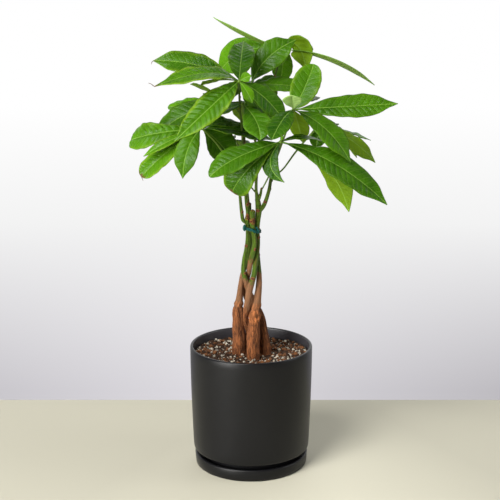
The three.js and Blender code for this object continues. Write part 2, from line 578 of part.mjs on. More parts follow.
// ---------- the tie ----------
// A soft coated tie drawn tight round the bundle, with a twisted knot at the left front
// and one short end at the right front.
function stemAt(stations, height) {
  const k = Math.max(stations.findIndex((station) => station[2] > height), 1);
  const [low, high] = [stations[k - 1], stations[k]];
  const t = (height - low[2]) / (high[2] - low[2]);
  return low.map((value, i) => THREE.MathUtils.lerp(value, high[i], t));
}

function tieSolid(clearance) {
  const turns = 16;
  const loop = [];
  for (let k = 0; k < turns; k++) {
    const angle = (2 * Math.PI * k) / turns;
    const outward = new THREE.Vector3(Math.cos(angle), Math.sin(angle), 0);
    const height = TIE_HEIGHT + TIE_SLOPE * 9 * outward.x;
    const reaches = Object.values(STEMS).map(({ main }) => {
      const [x, y, , radius] = stemAt(main, height);
      return new THREE.Vector3(x, y, height).addScaledVector(outward, radius + CLEARANCE + TIE_RADIUS);
    });
    loop.push(reaches.reduce((best, p) => (p.dot(outward) > best.dot(outward) ? p : best)));
  }
  const rings = loop.map((p, k) => {
    const next = loop[(k + 1) % turns];
    const before = loop[(k + turns - 1) % turns];
    const along = next.clone().sub(before).normalize();
    const up = new THREE.Vector3(0, 0, 1).addScaledVector(along, -along.z).normalize();
    const out = new THREE.Vector3().crossVectors(along, up);
    return Array.from({ length: 6 }, (_, j) => {
      const angle = (2 * Math.PI * j) / 6;
      const rise = (TIE_RADIUS + TIE_SPACING / 2) * Math.cos(angle);
      return p.clone().addScaledVector(up, rise).addScaledVector(out, TIE_RADIUS * Math.sin(angle));
    });
  });
  const half = turns / 2;
  const front = solidOf(skinOver([...rings.slice(half), rings[0]]));
  const back = solidOf(skinOver(rings.slice(0, half + 1)));
  const knot = [
    [[-6.6, -8.6, 302, 1.2], [-8.6, -9.4, 305, 1.4], [-7.6, -10.2, 308, 1.2]],
    [[-7.4, -9.4, 307, 1.2], [-9, -9.8, 303, 1.4], [-7.2, -10, 300, 1.2]],
  ];
  const end = [[7.6, -6.2, 296, 1.2], [8.6, -7, 299, 1.2], [7, -8.4, 303.5, 1.2], [5.6, -9.4, 305.5, 1]];
  const extras = [...knot, end].map((stations) => solidOf(limb(stations, { sides: 5, steps: 1 })));
  return mainBody(fuse([front, back, ...extras]).subtract(clearance));
}

// ---------- assembly ----------
const plant = new THREE.Group();

function place(name, geometry, material) {
  const mesh = new THREE.Mesh(geometry, material);
  mesh.name = name;
  plant.add(mesh);
}

const stems = {};
const stemClearances = {};
for (const [name, shape] of Object.entries(STEMS)) {
  stems[name] = stemSolid(shape);
  stemClearances[name] = stemSolid(shape, CLEARANCE);
}
const allStemsClear = fuse(Object.values(stemClearances));

place("saucer", saucerGeometry(), blackCeramic);
place("pot", potGeometry(), blackCeramic);
place("soil", geometryOf(mainBody(solidOf(soilGeometry()).subtract(allStemsClear))), pottingMix);
for (const [name, solid] of Object.entries(stems)) place(name, geometryOf(solid), bark);
place("tie", geometryOf(tieSolid(allStemsClear)), tealPlastic);
for (const [name, shape] of Object.entries(LEAVES)) {
  place(name, geometryOf(leafSolid(shape, stemClearances[shape.stem])), leafGreen);
}

export default plant;
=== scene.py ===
"""Potted money tree: five braided Pachira stems in a matte black pot on its saucer.

Run as a script by Blender. The plant's lengths are millimetres until finish_piece turns them
to metres. The studio's and the shaders' are metres.
"""
import math
import random

import bmesh
import bpy
from bpy.props import FloatProperty, FloatVectorProperty, IntProperty, PointerProperty
from bpy.types import Operator, Panel, PropertyGroup
from mathutils import Matrix, Vector, noise


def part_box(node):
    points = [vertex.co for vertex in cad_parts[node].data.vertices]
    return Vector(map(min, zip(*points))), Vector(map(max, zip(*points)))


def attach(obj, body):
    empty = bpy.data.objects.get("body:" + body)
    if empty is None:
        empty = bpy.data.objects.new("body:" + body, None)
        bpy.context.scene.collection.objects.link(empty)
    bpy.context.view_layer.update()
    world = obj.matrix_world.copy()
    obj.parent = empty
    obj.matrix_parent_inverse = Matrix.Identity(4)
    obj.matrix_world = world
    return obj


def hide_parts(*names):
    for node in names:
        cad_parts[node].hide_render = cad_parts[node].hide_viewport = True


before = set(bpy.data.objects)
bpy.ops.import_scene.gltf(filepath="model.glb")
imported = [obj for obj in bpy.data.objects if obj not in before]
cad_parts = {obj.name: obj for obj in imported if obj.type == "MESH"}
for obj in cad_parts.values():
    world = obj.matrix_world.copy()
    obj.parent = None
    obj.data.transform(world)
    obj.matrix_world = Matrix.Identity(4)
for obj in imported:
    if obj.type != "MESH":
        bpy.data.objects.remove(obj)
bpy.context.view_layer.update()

bl_info = {
    "name": "Potted Money Tree",
    "version": (1, 0, 0),
    "blender": (4, 5, 0),
    "location": "View3D > Sidebar > Money Tree",
    "description": "Builds a braided money tree in a black pot and lights it",
    "category": "Add Mesh",
}

MM = 0.001
MERGE = 1e-4  # vertices closer than this, in mm, become one
CLEARANCE = 0.3  # gap kept between pieces that touch, mm
PHOTO_SIZE = 500  # side of the photo in pixels


def linear(code):
    """A colour written #rrggbb, as the three linear numbers that shaders and lights take."""
    channels = [int(code[i:i + 2], 16) / 255 for i in (1, 3, 5)]
    return tuple(c / 12.92 if c <= 0.04045 else ((c + 0.055) / 1.055) ** 2.4 for c in channels)


def millimetres(axis, node):
    """The highest coordinate of a CAD node along an axis."""
    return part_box(node)[1][axis] / MM


# ---------- the plant's own sizes: stations of the stems and places of the leaflets ----------
# A station is (x, y, z, radius). A leaflet's numbers are its tip as seen from the hub, the bow
# of its midrib, its width, the way its upper side faces, its fold in degrees, the height of its
# waves and its tone. Stems are braided, so each is a list of places.

STEMS = {
    "stem_front": dict(
        green_from=248, graft=203, callus=(4.2, -20, 194.5, 9.5),
        main=[
            (2.4, -15, 100, 7.6), (2.4, -15, 138, 8.2), (2.6, -15, 160, 8), (3.6, -14.6, 182, 7.4),
            (4.8, -13.8, 199, 6.9), (6, -12.2, 206, 5.6), (7.6, -9.6, 216, 4.7), (9.2, -6.5, 228, 3.8),
            (9.8, -2, 242, 3.2), (8.8, 2.5, 256, 2.8), (7.6, 5.5, 272, 2.6), (6.8, 6.4, 300, 2.5),
            (7.4, 8.5, 322, 2.2), (6.2, 12, 346, 1.7), (6.8, 17, 372, 1.6), (9, 24, 404, 1.5),
            (16, 34, 441, 1.4), (28.5, 46, 480, 1.3), (35, 52, 502, 1.2),
        ],
        branches=[],
    ),
    "stem_left": dict(
        green_from=248, graft=203,
        main=[
            (-15.5, 1, 100, 7.6), (-15.6, 1, 138, 8.6), (-15.2, 1, 160, 8.2), (-16, 0.5, 182, 7.1),
            (-16.4, 0, 198, 6.6), (-14.8, -0.5, 210, 4.5), (-13.9, -1, 219, 3.8), (-12.9, -1.2, 230, 3.1),
            (-10.8, 0.5, 243, 2.7), (-6.2, 3.6, 256, 2.7), (-2.4, 5.2, 272, 2.6), (-0.4, 4.4, 296, 2.5),
            (-3.2, 6.5, 325, 2.1), (-5.6, 9, 350, 1.9), (-7.5, 14, 375, 1.7), (-8.5, 24, 405, 1.5),
            (-6, 36, 432, 1.3),
        ],
        branches=[
            [(-3, 6.2, 316, 1.8), (-1.8, 3.8, 325, 2), (-2, 2.8, 333, 1.8)],
        ],
    ),
    "stem_back_left": dict(
        green_from=236,
        main=[
            (-9, 18, 100, 7), (-9, 18, 138, 7.2), (-6, 15.5, 150, 6), (-2.6, 9, 160, 5),
            (-2.6, 2, 170, 4.3), (-4.9, -5, 181, 3.9), (-6.9, -12.6, 193, 3.6), (-5.6, -15.8, 204, 4.3),
            (-4.1, -16, 214, 4), (-2.3, -14, 226, 4), (-0.2, -12.8, 234, 3.8), (2.5, -11.4, 242, 3.3),
            (4, -9.8, 250, 3.1), (5, -7.6, 259, 3), (7, -4.2, 268, 2.6), (8.3, -0.8, 285, 2.6),
            (7.4, -0.4, 300, 2.8), (8, -1, 312, 3.3), (9.2, -1.2, 323, 3.6), (8.7, -0.8, 333, 3),
            (7.2, 0, 341, 2.2), (5.8, 1, 350, 1.7), (6.6, 3, 363, 1.5), (7.4, 4.4, 376, 1.4),
            (5.2, 8, 406, 1.3), (2.4, 12, 444, 1.2), (0.4, 14.4, 464, 1.1),
        ],
        branches=[
            [
                (9, -1.2, 321, 2), (13.6, -2.2, 327.5, 2.7), (16.8, -4, 334, 2.5), (21.4, -8, 350, 2.1),
                (23.3, -12, 363, 2), (25.6, -20, 379, 1.9), (29.4, -33, 396, 1.8), (32.4, -43, 407, 1.7),
            ],
            [(8.4, 0, 335, 2), (11.4, 0, 344, 1.7), (12.6, 0, 352, 1.2)],
            [(5.8, 1, 345, 1.1), (1.6, 2.2, 349.6, 0.9), (-3, 4, 355, 0.9), (-6.6, 6.6, 361, 0.8)],
            [(22.6, -10, 359, 1.2), (25.8, -11, 363.5, 1.5)],
        ],
    ),
    "stem_right": dict(
        green_from=240,
        main=[
            (18, 1, 100, 7.2), (18, 1, 138, 7.6), (16.6, 2, 152, 7.4), (13.8, 3.4, 172, 6.4),
            (10.6, 4, 190, 5.3), (4.4, 3.2, 204, 4.5), (-1.2, 0.8, 217, 3.8), (-4.6, -3, 228, 3.4),
            (-7, -6.2, 239, 3.1), (-9.6, -8.4, 250, 2.9), (-9.2, -8.2, 258, 2.7), (-8.2, -7.6, 266, 2.6),
            (-6.4, -6.6, 275, 2.4), (-4.6, -5.4, 288, 2.3), (-4.4, -5.2, 300, 2.3), (-5, -5.8, 311, 2.5),
            (-4.5, -6, 322, 2), (-5.9, -6, 334, 1.9), (-6.7, -6, 346, 1.8), (-8, -7, 368, 1.6),
            (-9.4, -8, 392, 1.5), (-10.1, -9, 407, 1.4), (-11.2, -12, 427, 1.3), (-12.6, -17, 442, 1.3),
            (-13.5, -25, 459, 1.3), (-13.8, -37, 474, 1.2),
        ],
        branches=[
            [
                (-5.2, -5.8, 309, 1.8), (-9.6, -6.4, 312.5, 2.3), (-11.4, -8, 322, 2.1),
                (-13.2, -9.8, 340, 1.8), (-14.5, -10.6, 352, 1.5),
            ],
            [(-4.4, -6, 312, 1.2), (-3.6, -8.6, 317, 1.4)],
        ],
    ),
    "stem_back_right": dict(
        green_from=262,
        main=[
            (10.5, 18.5, 100, 7), (10.5, 18.5, 138, 7.2), (9.6, 17, 160, 6.4), (7, 14, 185, 5),
            (-2.6, 12.8, 205, 4.4), (-7.4, 9.8, 218, 3.8), (-6.4, 5.4, 230, 3.4), (-3.8, -0.6, 242, 3.1),
            (-2.6, -5.6, 249, 3.3), (-1.5, -8.2, 257, 3), (0.3, -8.6, 265, 3.3), (2.3, -8.3, 274, 3.1),
            (4.2, -7.2, 286, 3), (2.8, -5.8, 297, 3), (1.4, -5.4, 307, 3.3), (1.2, -5.2, 317, 3.7),
            (1.6, -5, 326, 3.6),
        ],
        branches=[
            [(1.6, -5, 309, 1.4), (3.2, -8.6, 312, 1.5)],
        ],
    ),
}


def leaflet(tip, bow, width, face, fold, wave, tone_and_sheen, point=1, base=1.2, quilt=1, rim=0.08, dry=0,
            thread=None):
    """One leaflet as a record.

    tone runs from 0, deep green, past 1, yellow-green, to 2, the palest; besides the leaflet's own
    green it holds painted sheen and shade, and above 1.3 it mixes in the pale colour, which on these
    leaflets is painted sheen. point is 1 for a drawn-out tip and 0 for a round one, and a greater base
    puts the widest place further out. quilt swells the blade between its veins, rim yellows its
    margin, dry browns its tip, and thread is the withered thread that hangs from it.
    """
    return dict(tip=tip, bow=bow, width=width, face=face, fold=fold, wave=wave, tone_and_sheen=tone_and_sheen,
                point=point, base=base, quilt=quilt, rim=rim, dry=dry, thread=thread)


# A leaflet's tone is its own green and also painted sheen and shade, set leaflet by leaflet to how each is
# lit.
LEAVES = {
    "leaf_front": dict(petiole=[(-13.5, -33, 470), (-13.8, -41, 477), (-14, -45, 483)], leaflets=[
        leaflet((-99, 12, 22), (0, 0, 7), 32, (0.1, -0.8, 0.6), 3, 1.5, 0.28, quilt=0.6, rim=0.3, dry=0.5,
                thread=(-2, 0, -4)),
        leaflet((-95, -22, -4), (11, -4, 12.5), 33, (0, -0.42, 0.9), 3, 1, 0.45, rim=0.5, dry=1,
                thread=(-7, 0, 4)),
        leaflet((-72, -34, -64), (3, -4, 4), 34, (-0.3, -0.9, 0.4), 3, 1, 0.45, base=0.8, quilt=2.6,
                rim=0.5),
        leaflet((5, 74, 41), (0, 0, 4), 31, (0, -0.5, 0.85), 6, 1, 0.2, base=0.85),
        leaflet((54, 8, -50), (3, 2, 5), 28, (0.35, -0.85, 0.4), 3, 0.5, 0.22),
        leaflet((22, 34, -34), (0, 0, 2), 22, (0.2, -0.8, 0.3), 3, 0.5, 0.7),
        leaflet((-46, 30, -8), (0, 0, 4), 24, (0, 0.1, 1), 4, 0.5, 0.2),
        leaflet((14, 2, 6), (0, 0, 1), 12, (0.2, -0.9, 0.4), 3, 0, 1),
        leaflet((15, -1, -25), (2, -2, 0), 14, (0.3, -0.9, 0.3), 4, 0.5, 0.95),
    ]),
    "leaf_under_front": dict(petiole=[(-12.4, -16.5, 441), (-10, -21, 449), (-10, -24, 455)], leaflets=[
        leaflet((20, -46, -36), (6, -8, 1), 34, (0.1, -0.85, 0.5), 3, 1, 0.42),
        leaflet((-30, 20, -12), (0, -4, 0), 18, (-0.2, -0.5, 0.8), 4, 0.5, 0.2),
        leaflet((40, 22, -26), (0, 0, 2), 26, (0.2, -0.5, 0.8), 4, 0.5, 0.3),
    ]),
    "leaf_left": dict(petiole=[
        (-14.3, -10.5, 350), (-15.2, -11, 356), (-23, -13, 378), (-39, -17, 405), (-58, -20, 426),
    ], leaflets=[
        leaflet((-85, 14, -16), (-9, -14, 3), 33, (-0.15, -0.8, 0.55), 2, 1, 0.55, point=0, quilt=2.8,
                rim=0.25),
        leaflet((-67, -22, -30), (-3, -10, 3), 13, (-0.35, -0.7, 0.6), 4, 0.3, 0.65, rim=0.4),
        leaflet((-70, -24, -54), (-5, -4, 1), 29, (-0.5, -0.75, 0.45), 4, 1, 0.6, point=0.1, rim=0.4,
                dry=1, thread=(2, 0, -5)),
        leaflet((-22, -22, -56), (-4, -14, 8), 28, (-0.2, -0.95, 0.2), 4, 0.5, 0.38),
        leaflet((36, 16, -40), (1, 2, 2), 38, (0.2, -0.8, 0.3), 4, 0.5, 0.3),
        leaflet((58, 45, -9), (0, -1, 8), 31, (0, -0.35, 0.95), 5, 1, 0.15),
        leaflet((83, 14, -16), (0, 0, 4.5), 33, (0, -0.35, 0.9), 5, 1, 0.2),
    ]),
    "leaf_back_left": dict(petiole=[(-12.6, -17, 442), (-22, -4, 452), (-33, 15, 456)], leaflets=[
        leaflet((-86, -8, -44), (0, 0, 6), 34, (-0.3, -0.75, 0.6), 3, 1, 0.3),
        leaflet((-69, 30, -12), (0, 0, -1), 24, (0, -0.55, 0.8), 4, 1, 0.85, point=0.2),
        leaflet((-42, 46, 14), (0, 0, 2), 19, (0, 0.65, 0.75), 4, 0.3, 0.15),
        leaflet((-16, 84, -14), (0, 0, 10), 34, (0, -0.1, 1), 5, 1, 0.3),
        leaflet((-58, 66, -32), (0, 0, 8), 32, (-0.3, 0, 0.9), 5, 1, 0.3),
    ]),
    "leaf_right_front": dict(petiole=[(31.4, -40, 404), (33.2, -46, 410), (34, -50, 414)], leaflets=[
        leaflet((-81, -28, -36), (-9, -3, 2.5), 33, (-0.2, -0.7, 0.65), 3, 1.5, 0.35, point=0.4, base=0.8),
        leaflet((-56, 6, -60), (-9, -10, 0), 36, (-0.3, -0.9, 0.1), 3, 1, 0.3, point=0, base=1.3, rim=0.4,
                dry=1),
        leaflet((4, -16, -44.5), (-14, 0, -2), 20, (-0.3, -0.8, 0.2), 3, 0.5, 0.02, base=0.8),
        leaflet((123, -14, -71), (3, -2, 10), 35, (0.25, -0.8, 0.6), 3, 1.5, 0.28, quilt=1.4),
        leaflet((82, 20, -86), (12, 4, 12), 31, (0.45, 0.75, 0.3), 3, 1, 0.6, base=2.3),
        leaflet((50, 24, -3), (0, 0, 5), 22, (0, -0.15, 1), 4, 0.5, 0.3),
        leaflet((2, -3, 9), (0, 0, 0), 3.5, (0, -1, 0.2), 3, 0, 0.9),
    ]),
    "leaf_right": dict(petiole=[
        (12.8, 0, 349), (20.2, -1, 363.5), (27.4, -2, 380), (38, -20, 413), (49, -38, 450),
    ], leaflets=[
        leaflet((121, 6, 6), (0, 0, 0), 31, (0, -0.8, 0.6), 3, 1, 0.42, quilt=1.7),
        leaflet((65, -22, -58), (4, -3, 8), 31, (0.35, -0.75, 0.55), 3, 1, 0.4, quilt=1.3),
        leaflet((-26, -58, -27), (0, -3, 6), 28, (-0.2, -0.8, 0.6), 3, 0.5, 0.12, point=0.4),
        leaflet((13, 42, -44), (0, 2, 2), 24, (0.2, 0.8, 0.2), 4, 0.5, 0.9),
        # this leaflet's tone of 2 is painted sheen
        leaflet((-4, -38, 20), (0, 0, 1), 22, (0, -0.5, -0.8), 6, 0.5, 2, point=0.3),
        leaflet((24, 25, 50), (1, -2, -1), 33, (-0.1, -0.9, 0.35), 8, 0.5, 0.55, point=0.1, base=0.6,
                quilt=0.6, rim=0.3),
        leaflet((33, 56, 8), (0, 0, 5), 20, (0.1, -0.2, 1), 5, 0.5, 0.3),
    ]),
    "leaf_middle": dict(petiole=[(0.8, 13.8, 459), (0, 15, 468), (-0.5, 15.5, 474)], leaflets=[
        leaflet((54, 8, 52), (-7, -6, 5), 34, (0.1, -0.8, 0.5), 4, 1, 0.35),
        leaflet((50, 26, -4), (0, 0, 4), 24, (0, -0.5, 0.85), 5, 1, 0.45),
        leaflet((68, -8, -4), (0, 0, 2), 30, (0, -0.5, 0.85), 4, 1, 0.55),
        leaflet((-24, 86, -26), (0, 0, 10), 34, (0, 0, 1), 5, 1, 0.35),
        leaflet((24, 90, -36), (0, 0, 10), 36, (0, 0, 1), 5, 1, 0.3),
    ]),
    "leaf_top": dict(petiole=[(33.6, 50.4, 497), (37, 54, 508), (39, 55, 513)], leaflets=[
        # the first and third leaflets' tone of 1.5 is painted sheen
        leaflet((-85, 5, 38), (2, 0, -5), 20, (0.42, 0.27, 0.9), 4, 0, 1.5, quilt=0),
        leaflet((-77, 50, -28), (-6, -6, 11), 40, (0.1, -0.9, 0.4), 2, 1, 0.75, point=0.3),
        leaflet((112, -6, -43), (2, -8, 9), 20, (0.33, 0.3, 0.9), 3, 0, 1.5, quilt=0),
        leaflet((29, -8, -27), (3, -2, 18), 30, (0.2, 0.8, 0.4), 3, 0.5, 1),
        leaflet((-2, 44, -46), (2, 8, 8), 26, (0, -0.9, 0.3), 4, 0.5, 0.5, point=0.3),
        leaflet((34, 70, -14), (0, 0, 10), 34, (0.1, 0, 1), 5, 1, 0.35),
        leaflet((-12, 84, -22), (0, 0, 8), 36, (0, 0.1, 1), 5, 1, 0.3),
    ]),
    "leaf_right_back": dict(petiole=[
        (23.6, -11, 361.6), (30, -6, 368), (38.2, -2, 374.5), (53, 12, 392), (69, 30, 408), (85, 45, 422),
    ], leaflets=[
        leaflet((38, 26, -22), (0, 0, 2), 22, (0, -0.4, 0.9), 4, 1, 0.6),
        leaflet((66, 34, -24), (0, 0, 1), 22, (0.2, -0.1, 0.95), 5, 1, 0.6),
        leaflet((68, -8, -46), (4, 0, 4), 26, (-0.35, 0.6, -0.65), 4, 1, 1.2),
        leaflet((50, 46, -48), (0, 0, 6), 26, (0.6, 0.2, 0.7), 4, 1, 0.6),
        leaflet((-6, -12, -30), (0, 0, 2), 20, (0, -0.9, 0.3), 4, 0.5, 0.3),
        leaflet((16, 84, -16), (0, 0, 3), 34, (0, 0.1, 1), 5, 1, 0.3),
        leaflet((-34, 66, -2), (0, 0, 8), 30, (0, 0.1, 1), 5, 1, 0.3),
    ]),
    "leaf_back": dict(petiole=[(-7, 32, 425), (-5, 44, 440), (-4, 58, 446)], leaflets=[
        leaflet((-52, 76, -30), (0, 0, 10), 34, (-0.2, 0.2, 0.9), 5, 1, 0.35),
        leaflet((-6, 98, -38), (0, 0, 12), 36, (0, 0.3, 0.9), 5, 1, 0.35),
        leaflet((40, 84, -40), (0, 0, 10), 34, (0.2, 0.2, 0.9), 5, 1, 0.4),
        leaflet((-56, 34, -32), (0, 0, 8), 28, (-0.2, -0.1, 0.9), 5, 1, 0.35),
        leaflet((56, 28, -28), (0, 0, 8), 28, (0.2, -0.1, 0.9), 5, 1, 0.35),
    ]),
    "leaf_low_back": dict(petiole=[(-7.8, 17, 385), (-14, 30, 396), (-20, 46, 402)], leaflets=[
        leaflet((-28, 68, -30), (0, 0, 10), 32, (-0.3, 0.2, 0.9), 5, 1, 0.35),
        leaflet((-20, 84, -46), (0, 0, 12), 34, (0, 0.4, 0.9), 5, 1, 0.35),
        leaflet((26, 74, -44), (0, 0, 10), 32, (0.2, 0.4, 0.9), 5, 1, 0.35),
        leaflet((44, 30, -34), (0, 0, 8), 26, (0.2, -0.1, 0.9), 5, 1, 0.3),
    ]),
}

# ---------- sizes and colours that a user would change ----------


def number_property(name, default, low, high, description):
    return FloatProperty(name=name, description=description, default=default, min=low, max=high)


def count_property(name, default, low, high, description):
    return IntProperty(name=name, description=description, default=default, min=low, max=high)


def colour_property(name, code, description):
    return FloatVectorProperty(name=name, description=description, subtype="COLOR", size=3,
                               min=0, max=1, default=linear(code))


class PotSettings(PropertyGroup):
    rim_radius: number_property(
        "Rim radius", millimetres(0, "pot"), 40, 120, "Outside radius of the pot at its rim, mm")
    base_radius: number_property(
        "Base radius", 72.6, 40, 120, "Outside radius of the pot just above its base, mm")
    rim_height: number_property(
        "Rim height", millimetres(2, "pot"), 80, 240, "Height of the pot's rim above the table, mm")
    wall: number_property("Wall", 3.8, 2, 8, "Thickness of the pot's wall, mm")
    saucer_radius: number_property(
        "Saucer radius", millimetres(0, "saucer"), 40, 120, "Outside radius of the saucer's rim, mm")
    saucer_height: number_property(
        "Saucer height", millimetres(2, "saucer"), 6, 30, "Height of the saucer's rim, mm")
    ceramic: colour_property("Ceramic", "#0e0e10", "Matte black ceramic of the pot and saucer")
    # inner_sheen is painted sheen: a lighter colour on the pot's inner wall that stands in for the light
    # it reflects
    inner_sheen: colour_property("Lining", "#38373b", "Thinner glaze inside the pot, which catches the light")


class SoilSettings(PropertyGroup):
    height: number_property("Soil height", 140.5, 60, 220, "Mean height of the soil, mm")
    relief: number_property("Relief", 1.1, 0, 5, "How far the soil rises and falls, mm")
    crumbs: count_property("Peat crumbs", 1900, 0, 5000, "Number of dark crumbs")
    chips: count_property("Bark chips", 420, 0, 2000, "Number of bark chips")
    grains: count_property("Perlite grains", 640, 0, 2000, "Number of pale grains")
    peat: colour_property("Peat", "#3c2a1e", "Potting mix between the crumbs")
    chip: colour_property("Bark chip", "#6e4628", "Fine bark chips")
    perlite: colour_property("Perlite", "#b8b0a0", "Pale perlite grains")


class StemSettings(PropertyGroup):
    sides: count_property("Sides", 56, 12, 128, "Faces around a stem")
    ring_gap: number_property("Ring gap", 1.3, 0.5, 5, "Distance between rings along a stem, mm")
    bark_relief: number_property("Bark relief", 0.9, 0, 3, "Depth of the bark's ridges, mm")
    bark: colour_property("Bark", "#784828", "Bark of the old wood")
    bark_smooth: colour_property("Smooth bark", "#8e6a4c", "Paler bark above the rough foot")
    bark_dark: colour_property("Bark cracks", "#4a2a1a", "Deep cracks of the bark")
    green: colour_property("Green stem", "#547014", "Young green stems and stalks")
    scar: colour_property("Leaf scar", "#6a3c22", "Scars that fallen leaves left on the stems")
    tie: colour_property("Tie", "#044640", "Plastic tie that holds the stems together")


class LeafSettings(PropertyGroup):
    thickness: number_property("Thickness", 0.8, 0.4, 2, "Thickness of a blade, mm")
    cells: count_property("Cells across", 22, 8, 48, "Faces across a blade")
    row_gap: number_property("Row gap", 1.1, 0.5, 5, "Distance between rows along a blade, mm")
    vein_gap: number_property("Vein gap", 7.5, 3, 20, "Distance between side veins, mm")
    quilting: number_property("Quilting", 0.6, 0, 2, "How far the blade swells between veins, mm")
    deep: colour_property("Deep green", "#1d4c03", "Upper side of the darkest leaflets")
    fresh: colour_property("Fresh green", "#5c9609", "Upper side of the brightest leaflets")
    under: colour_property("Underside", "#6c8e12", "Dull underside of the leaflets")
    margin: colour_property("Margin", "#9abc2c", "Yellowed margin of the older leaflets")
    # the pale colour is the green of the youngest leaflets and also painted sheen on the leaflets whose
    # tone is above 1.3
    young_and_sheen: colour_property("Young green", "#bfe08c", "Pale upper side of the youngest leaflets")
    rib: colour_property("Midrib", "#8fb94a", "Midribs and side veins")
    dry: colour_property("Dry tip", "#6b4a2a", "Withered tips and the threads that hang from them")


class SceneSettings(PropertyGroup):
    table_edge: number_property(
        "Table edge", 0.21, 0.1, 2, "Far edge of the table from the pot's middle, m")
    table: colour_property("Table", "#dedac6", "Matte beige table top")
    wall: colour_property("Wall", "#ffffff", "Pale wall behind the table")
    haze: colour_property("Low wall", "#fcf9ff", "The wall's tint low down")


# ---------- shared makers ----------


def rgba(colour, gain=1):
    """A colour with its alpha, made lighter or darker by the gain."""
    return (*(min(c * gain, 1) for c in colour), 1)


def smoothstep(x, low, high):
    """Rises smoothly from 0 at low to 1 at high."""
    t = min(max((x - low) / (high - low), 0), 1)
    return t * t * (3 - 2 * t)


def blend(a, b, t):
    return a + (b - a) * t


def slide(a, b, start, end, t):
    """The value at t on the line that is a at the start and b at the end."""
    return blend(a, b, (t - start) / (end - start))


def new_bmesh(masks=()):
    """An empty bmesh with a UV map, and its layers of one number per vertex for each mask."""
    bm = bmesh.new()
    bm.loops.layers.uv.new("UVMap")
    return bm, {name: bm.verts.layers.float.new(name) for name in masks}


def join(whole, part):
    """Adds a copy of one bmesh to another."""
    mesh = bpy.data.meshes.new("part")
    part.to_mesh(mesh)
    whole.from_mesh(mesh)
    bpy.data.meshes.remove(mesh)


def add_grid(bm, columns, rows, place):
    """A grid of columns by rows faces, each vertex moved to place(vertex, column, row)."""
    made = bmesh.ops.create_grid(bm, x_segments=columns, y_segments=rows, size=0.5, calc_uvs=True)
    for vertex in made["verts"]:
        u, v = vertex.co.x + 0.5, vertex.co.y + 0.5
        vertex.co = place(vertex, round(u * columns), round(v * rows))
    return made["verts"]


def smooth_path(stations, gap):
    """Points with radii along a centripetal curve through the stations, about gap apart."""
    points = [Vector(s[:3]) for s in stations]
    radii = [s[3] for s in stations]
    ends = [2 * points[0] - points[1], *points, 2 * points[-1] - points[-2]]
    path = []
    for i in range(len(points) - 1):
        p0, p1, p2, p3 = ends[i:i + 4]
        t1 = (p1 - p0).length ** 0.5
        t2 = t1 + (p2 - p1).length ** 0.5
        t3 = t2 + (p3 - p2).length ** 0.5
        steps = max(round((p2 - p1).length / gap), 1)
        for k in range(steps + (i == len(points) - 2)):
            t = blend(t1, t2, k / steps)
            a1, a2, a3 = slide(p0, p1, 0, t1, t), slide(p1, p2, t1, t2, t), slide(p2, p3, t2, t3, t)
            point = slide(slide(a1, a2, 0, t2, t), slide(a2, a3, t1, t3, t), t1, t2, t)
            path.append((point, blend(radii[i], radii[i + 1], k / steps)))
    return path


def frames_along(path):
    """For each point: the point, its radius, two directions across the path, and the length so far."""
    out = []
    length = 0
    across = Vector((1, 0, 0))
    for i, (point, radius) in enumerate(path):
        before = path[max(i - 1, 0)][0]
        after = path[min(i + 1, len(path) - 1)][0]
        along = (after - before).normalized()
        across = (across - along * across.dot(along)).normalized()
        length += (point - before).length
        out.append((point, radius, across, along.cross(across), length))
    return out


def add_tube(bm, path, sides, surface):
    """A closed round-ended tube. surface(vertex, angle, length, point) gives its relief in mm."""
    rows = frames_along(path)
    total = rows[-1][4]

    def place(vertex, column, row):
        point, radius, across, up, length = rows[row]
        angle = 2 * math.pi * (column % sides) / sides
        out = across * math.cos(angle) + up * math.sin(angle)
        relief = surface(vertex, angle, length, point + out * radius)
        end = min(length, total - length) / radius
        cap = math.sqrt(1 - (1 - end) ** 2) if end < 1 else 1
        return point + out * (radius + relief) * cap

    verts = add_grid(bm, sides, len(rows) - 1, place)
    bmesh.ops.remove_doubles(bm, verts=verts, dist=MERGE)


def spin_profile(profile, steps, closed):
    """A turned body from (radius, height) points."""
    bm = bmesh.new()
    verts = [bm.verts.new((radius, 0, height)) for radius, height in profile]
    edges = [bm.edges.new(pair) for pair in zip(verts, verts[1:])]
    if closed:
        edges.append(bm.edges.new((verts[-1], verts[0])))
    bmesh.ops.spin(bm, geom=verts + edges, axis=(0, 0, 1), cent=(0, 0, 0), angle=2 * math.pi,
                   steps=steps, use_merge=True)
    bmesh.ops.remove_doubles(bm, verts=bm.verts, dist=MERGE)
    bmesh.ops.recalc_face_normals(bm, faces=bm.faces)
    return bm


def add_object(bm, name, materials):
    """Turns a bmesh into an object with its materials."""
    mesh = bpy.data.meshes.new(name)
    bm.to_mesh(mesh)
    bm.free()
    for material in materials:
        mesh.materials.append(material)
    made = bpy.data.objects.new(name, mesh)
    bpy.context.collection.objects.link(made)
    return made


def finish_piece(bm, name, materials, nodes=(), flat=False, crease=None):
    """Turns a bmesh in millimetres into an object in metres that rides on the body."""
    bmesh.ops.scale(bm, vec=(MM, MM, MM), verts=bm.verts)
    piece = add_object(bm, name, materials)
    if flat:
        piece.data.shade_flat()
    else:
        piece.data.shade_smooth()
    if crease is not None:
        piece.data.set_sharp_from_angle(angle=math.radians(crease))
    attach(piece, "root")
    if nodes:
        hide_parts(*nodes)


# ---------- materials ----------

STEM_MASKS = ("green", "scar", "callus", "crack", "smooth")
LEAF_MASKS = ("tone_and_sheen", "rib", "vein", "edge", "dry")


